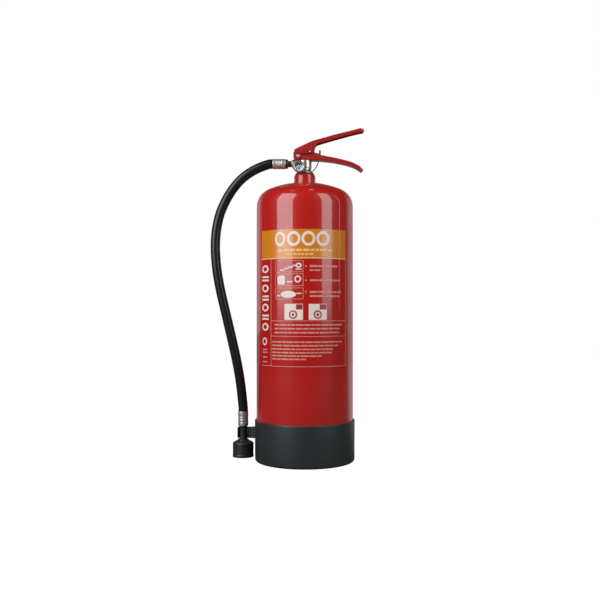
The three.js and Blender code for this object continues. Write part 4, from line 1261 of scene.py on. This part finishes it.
for name, draw, lift, material in (
    ("orange_band", printBand, "lift", orangeFilm), ("pink_print", printFine, "inkLift", pinkInk),
    ("cream_print", printBold, "inkLift", creamInk), ("peach_print", printBandRules, "inkLift", peachInk),
    ("red_marks", printMarks, "markLift", redInk),
):
    sheet = Print(printShape[lift])
    draw(sheet, printShape)
    finishPiece(toObject(name, sheet.bm), material, "root", "red_paint")
print("front print made")


backdropShape = {"lean": 0.06, "onset": (0.46, 0.66, 0.04, 0.7), "falloff": (0.72, 1.0, 1.0, 0.5)}


# how bright the pale backdrop is towards a direction, as the object's reflections see it
def makeBackdropGroup(b):
    group, start, end = newGroup("backdrop", [("Across", 0.0), ("Back", 0.0)], ["Level"])
    place = math2(group, "ADD", start.outputs["Back"], times(group, start.outputs["Across"], b["lean"]))
    level = times(group, remap(group, place, *b["onset"]), remap(group, place, *b["falloff"]))
    join(group, level, end.inputs["Level"])
    return group


backdropGroup = makeBackdropGroup(backdropShape)


def backdropTowards(tree, direction):
    behind = useGroup(tree, backdropGroup)
    join(tree, direction.outputs["X"], behind.inputs["Across"])
    join(tree, direction.outputs["Y"], behind.inputs["Back"])
    return behind.outputs["Level"]


# stage: pale floor, pale surround and soft lights
def makeFloor():
    bm = bmesh.new()
    bmesh.ops.create_grid(bm, x_segments=1, y_segments=1, size=6.0)
    floor = toObject("floor", bm)
    material, tree, shader = newMaterial("paleFloor")
    seen = outputOf(tree, "LightPath", "Is Camera Ray")
    place = outputOf(tree, "NewGeometry", "Position")
    behind = backdropTowards(tree, splitVector(tree, vectorMath(tree, "NORMALIZE", place).outputs[0]))
    rightwards = remap(tree, splitVector(tree, place).outputs["X"], -0.5, 0.2, 0.3, 0.85)
    reach = vectorMath(tree, "LENGTH", place).outputs["Value"]
    pale = remap(tree, reach, 0.3, 1.6, 0.96, 1.0)  # brightest far off, so that no edge shows
    join(tree, mixColours(tree, seen, times(tree, behind, rightwards), pale), shader.inputs["Emission Color"])
    setInputs(
        shader, Base_Color=(0.12, 0.12, 0.12, 1), Emission_Strength=1.0, Roughness=0.85, Specular_IOR_Level=0.0
    )
    floor.data.materials.append(material)


def makeSurround():
    world = bpy.data.worlds.new("surround")
    scene.world = world
    world.use_nodes = True
    tree = world.node_tree
    background = tree.nodes["Background"]
    direction = splitVector(tree, outputOf(tree, "TexCoord", "Generated"))
    below = remap(tree, direction.outputs["Z"], 0.18, 0.5, 1.0, 0.1)
    level = addNode(tree, "Mix", data_type="FLOAT")
    join(tree, outputOf(tree, "LightPath", "Is Camera Ray"), level.inputs[0])
    join(tree, times(tree, backdropTowards(tree, direction), below), level.inputs[2])
    level.inputs[3].default_value = 1.0
    join(tree, level.outputs[0], background.inputs["Strength"])
    background.inputs["Color"].default_value = (1, 1, 1, 1)


# azimuth from the camera's side, distance, height of the middle, width, height, watts, share of the aim's dip,
# and whether it shows in gloss: the last one, at the back, only fills
softBoxes = [
    (-47.5, 1.6, 1.195, 1.23, 2.05, 67, 0.5, True),
    (52, 1.6, 1.195, 0.78, 2.05, 34, 0.5, True),
    (87.4, 1.6, 1.0, 0.08, 1.5, 1.2, 0.3, True),
    (47.4, 0.36, 2.065, 0.12, 0.12, 0.5, 1.0, True),
    (-66, 0.56, 2.008, 0.12, 0.12, 0.3, 1.0, True),
    (172, 2.2, 1.4, 1.6, 1.6, 42, 0.8, False),
]
lightShape = {"tint": (0.90, 1.0, 1.0), "aim": (0, 0, 0.4)}


def makeSoftBoxes(boxes):
    for i, (azimuth, distance, middle, width, height, watts, dip, shows) in enumerate(boxes):
        data = bpy.data.lights.new("softBox%d" % i, "AREA")
        data.shape = "RECTANGLE"
        data.size, data.size_y = width, height
        data.energy = watts
        data.color = lightShape["tint"]
        data.use_nodes = True
        tree = data.node_tree
        up = splitVector(tree, outputOf(tree, "NewGeometry", "Parametric")).outputs["Y"]
        foot = remap(tree, up, 0.0, 0.1, 0.1, 0.75)  # dimmer towards the floor
        fade = times(tree, foot, remap(tree, up, 0.0, 0.3, 0.75, 1.0))
        join(tree, fade, tree.nodes["Emission"].inputs["Strength"])
        box = placed("softBox%d" % i, data)
        a = math.radians(azimuth)
        box.location = (distance * math.sin(a), -distance * math.cos(a), middle)
        aim = Vector(lightShape["aim"]) - box.location
        aim.z *= dip
        box.rotation_euler = aim.to_track_quat("-Z", "Y").to_euler()
        box.visible_glossy = shows


makeFloor()
makeSurround()
makeSoftBoxes(softBoxes)
print("stage made")
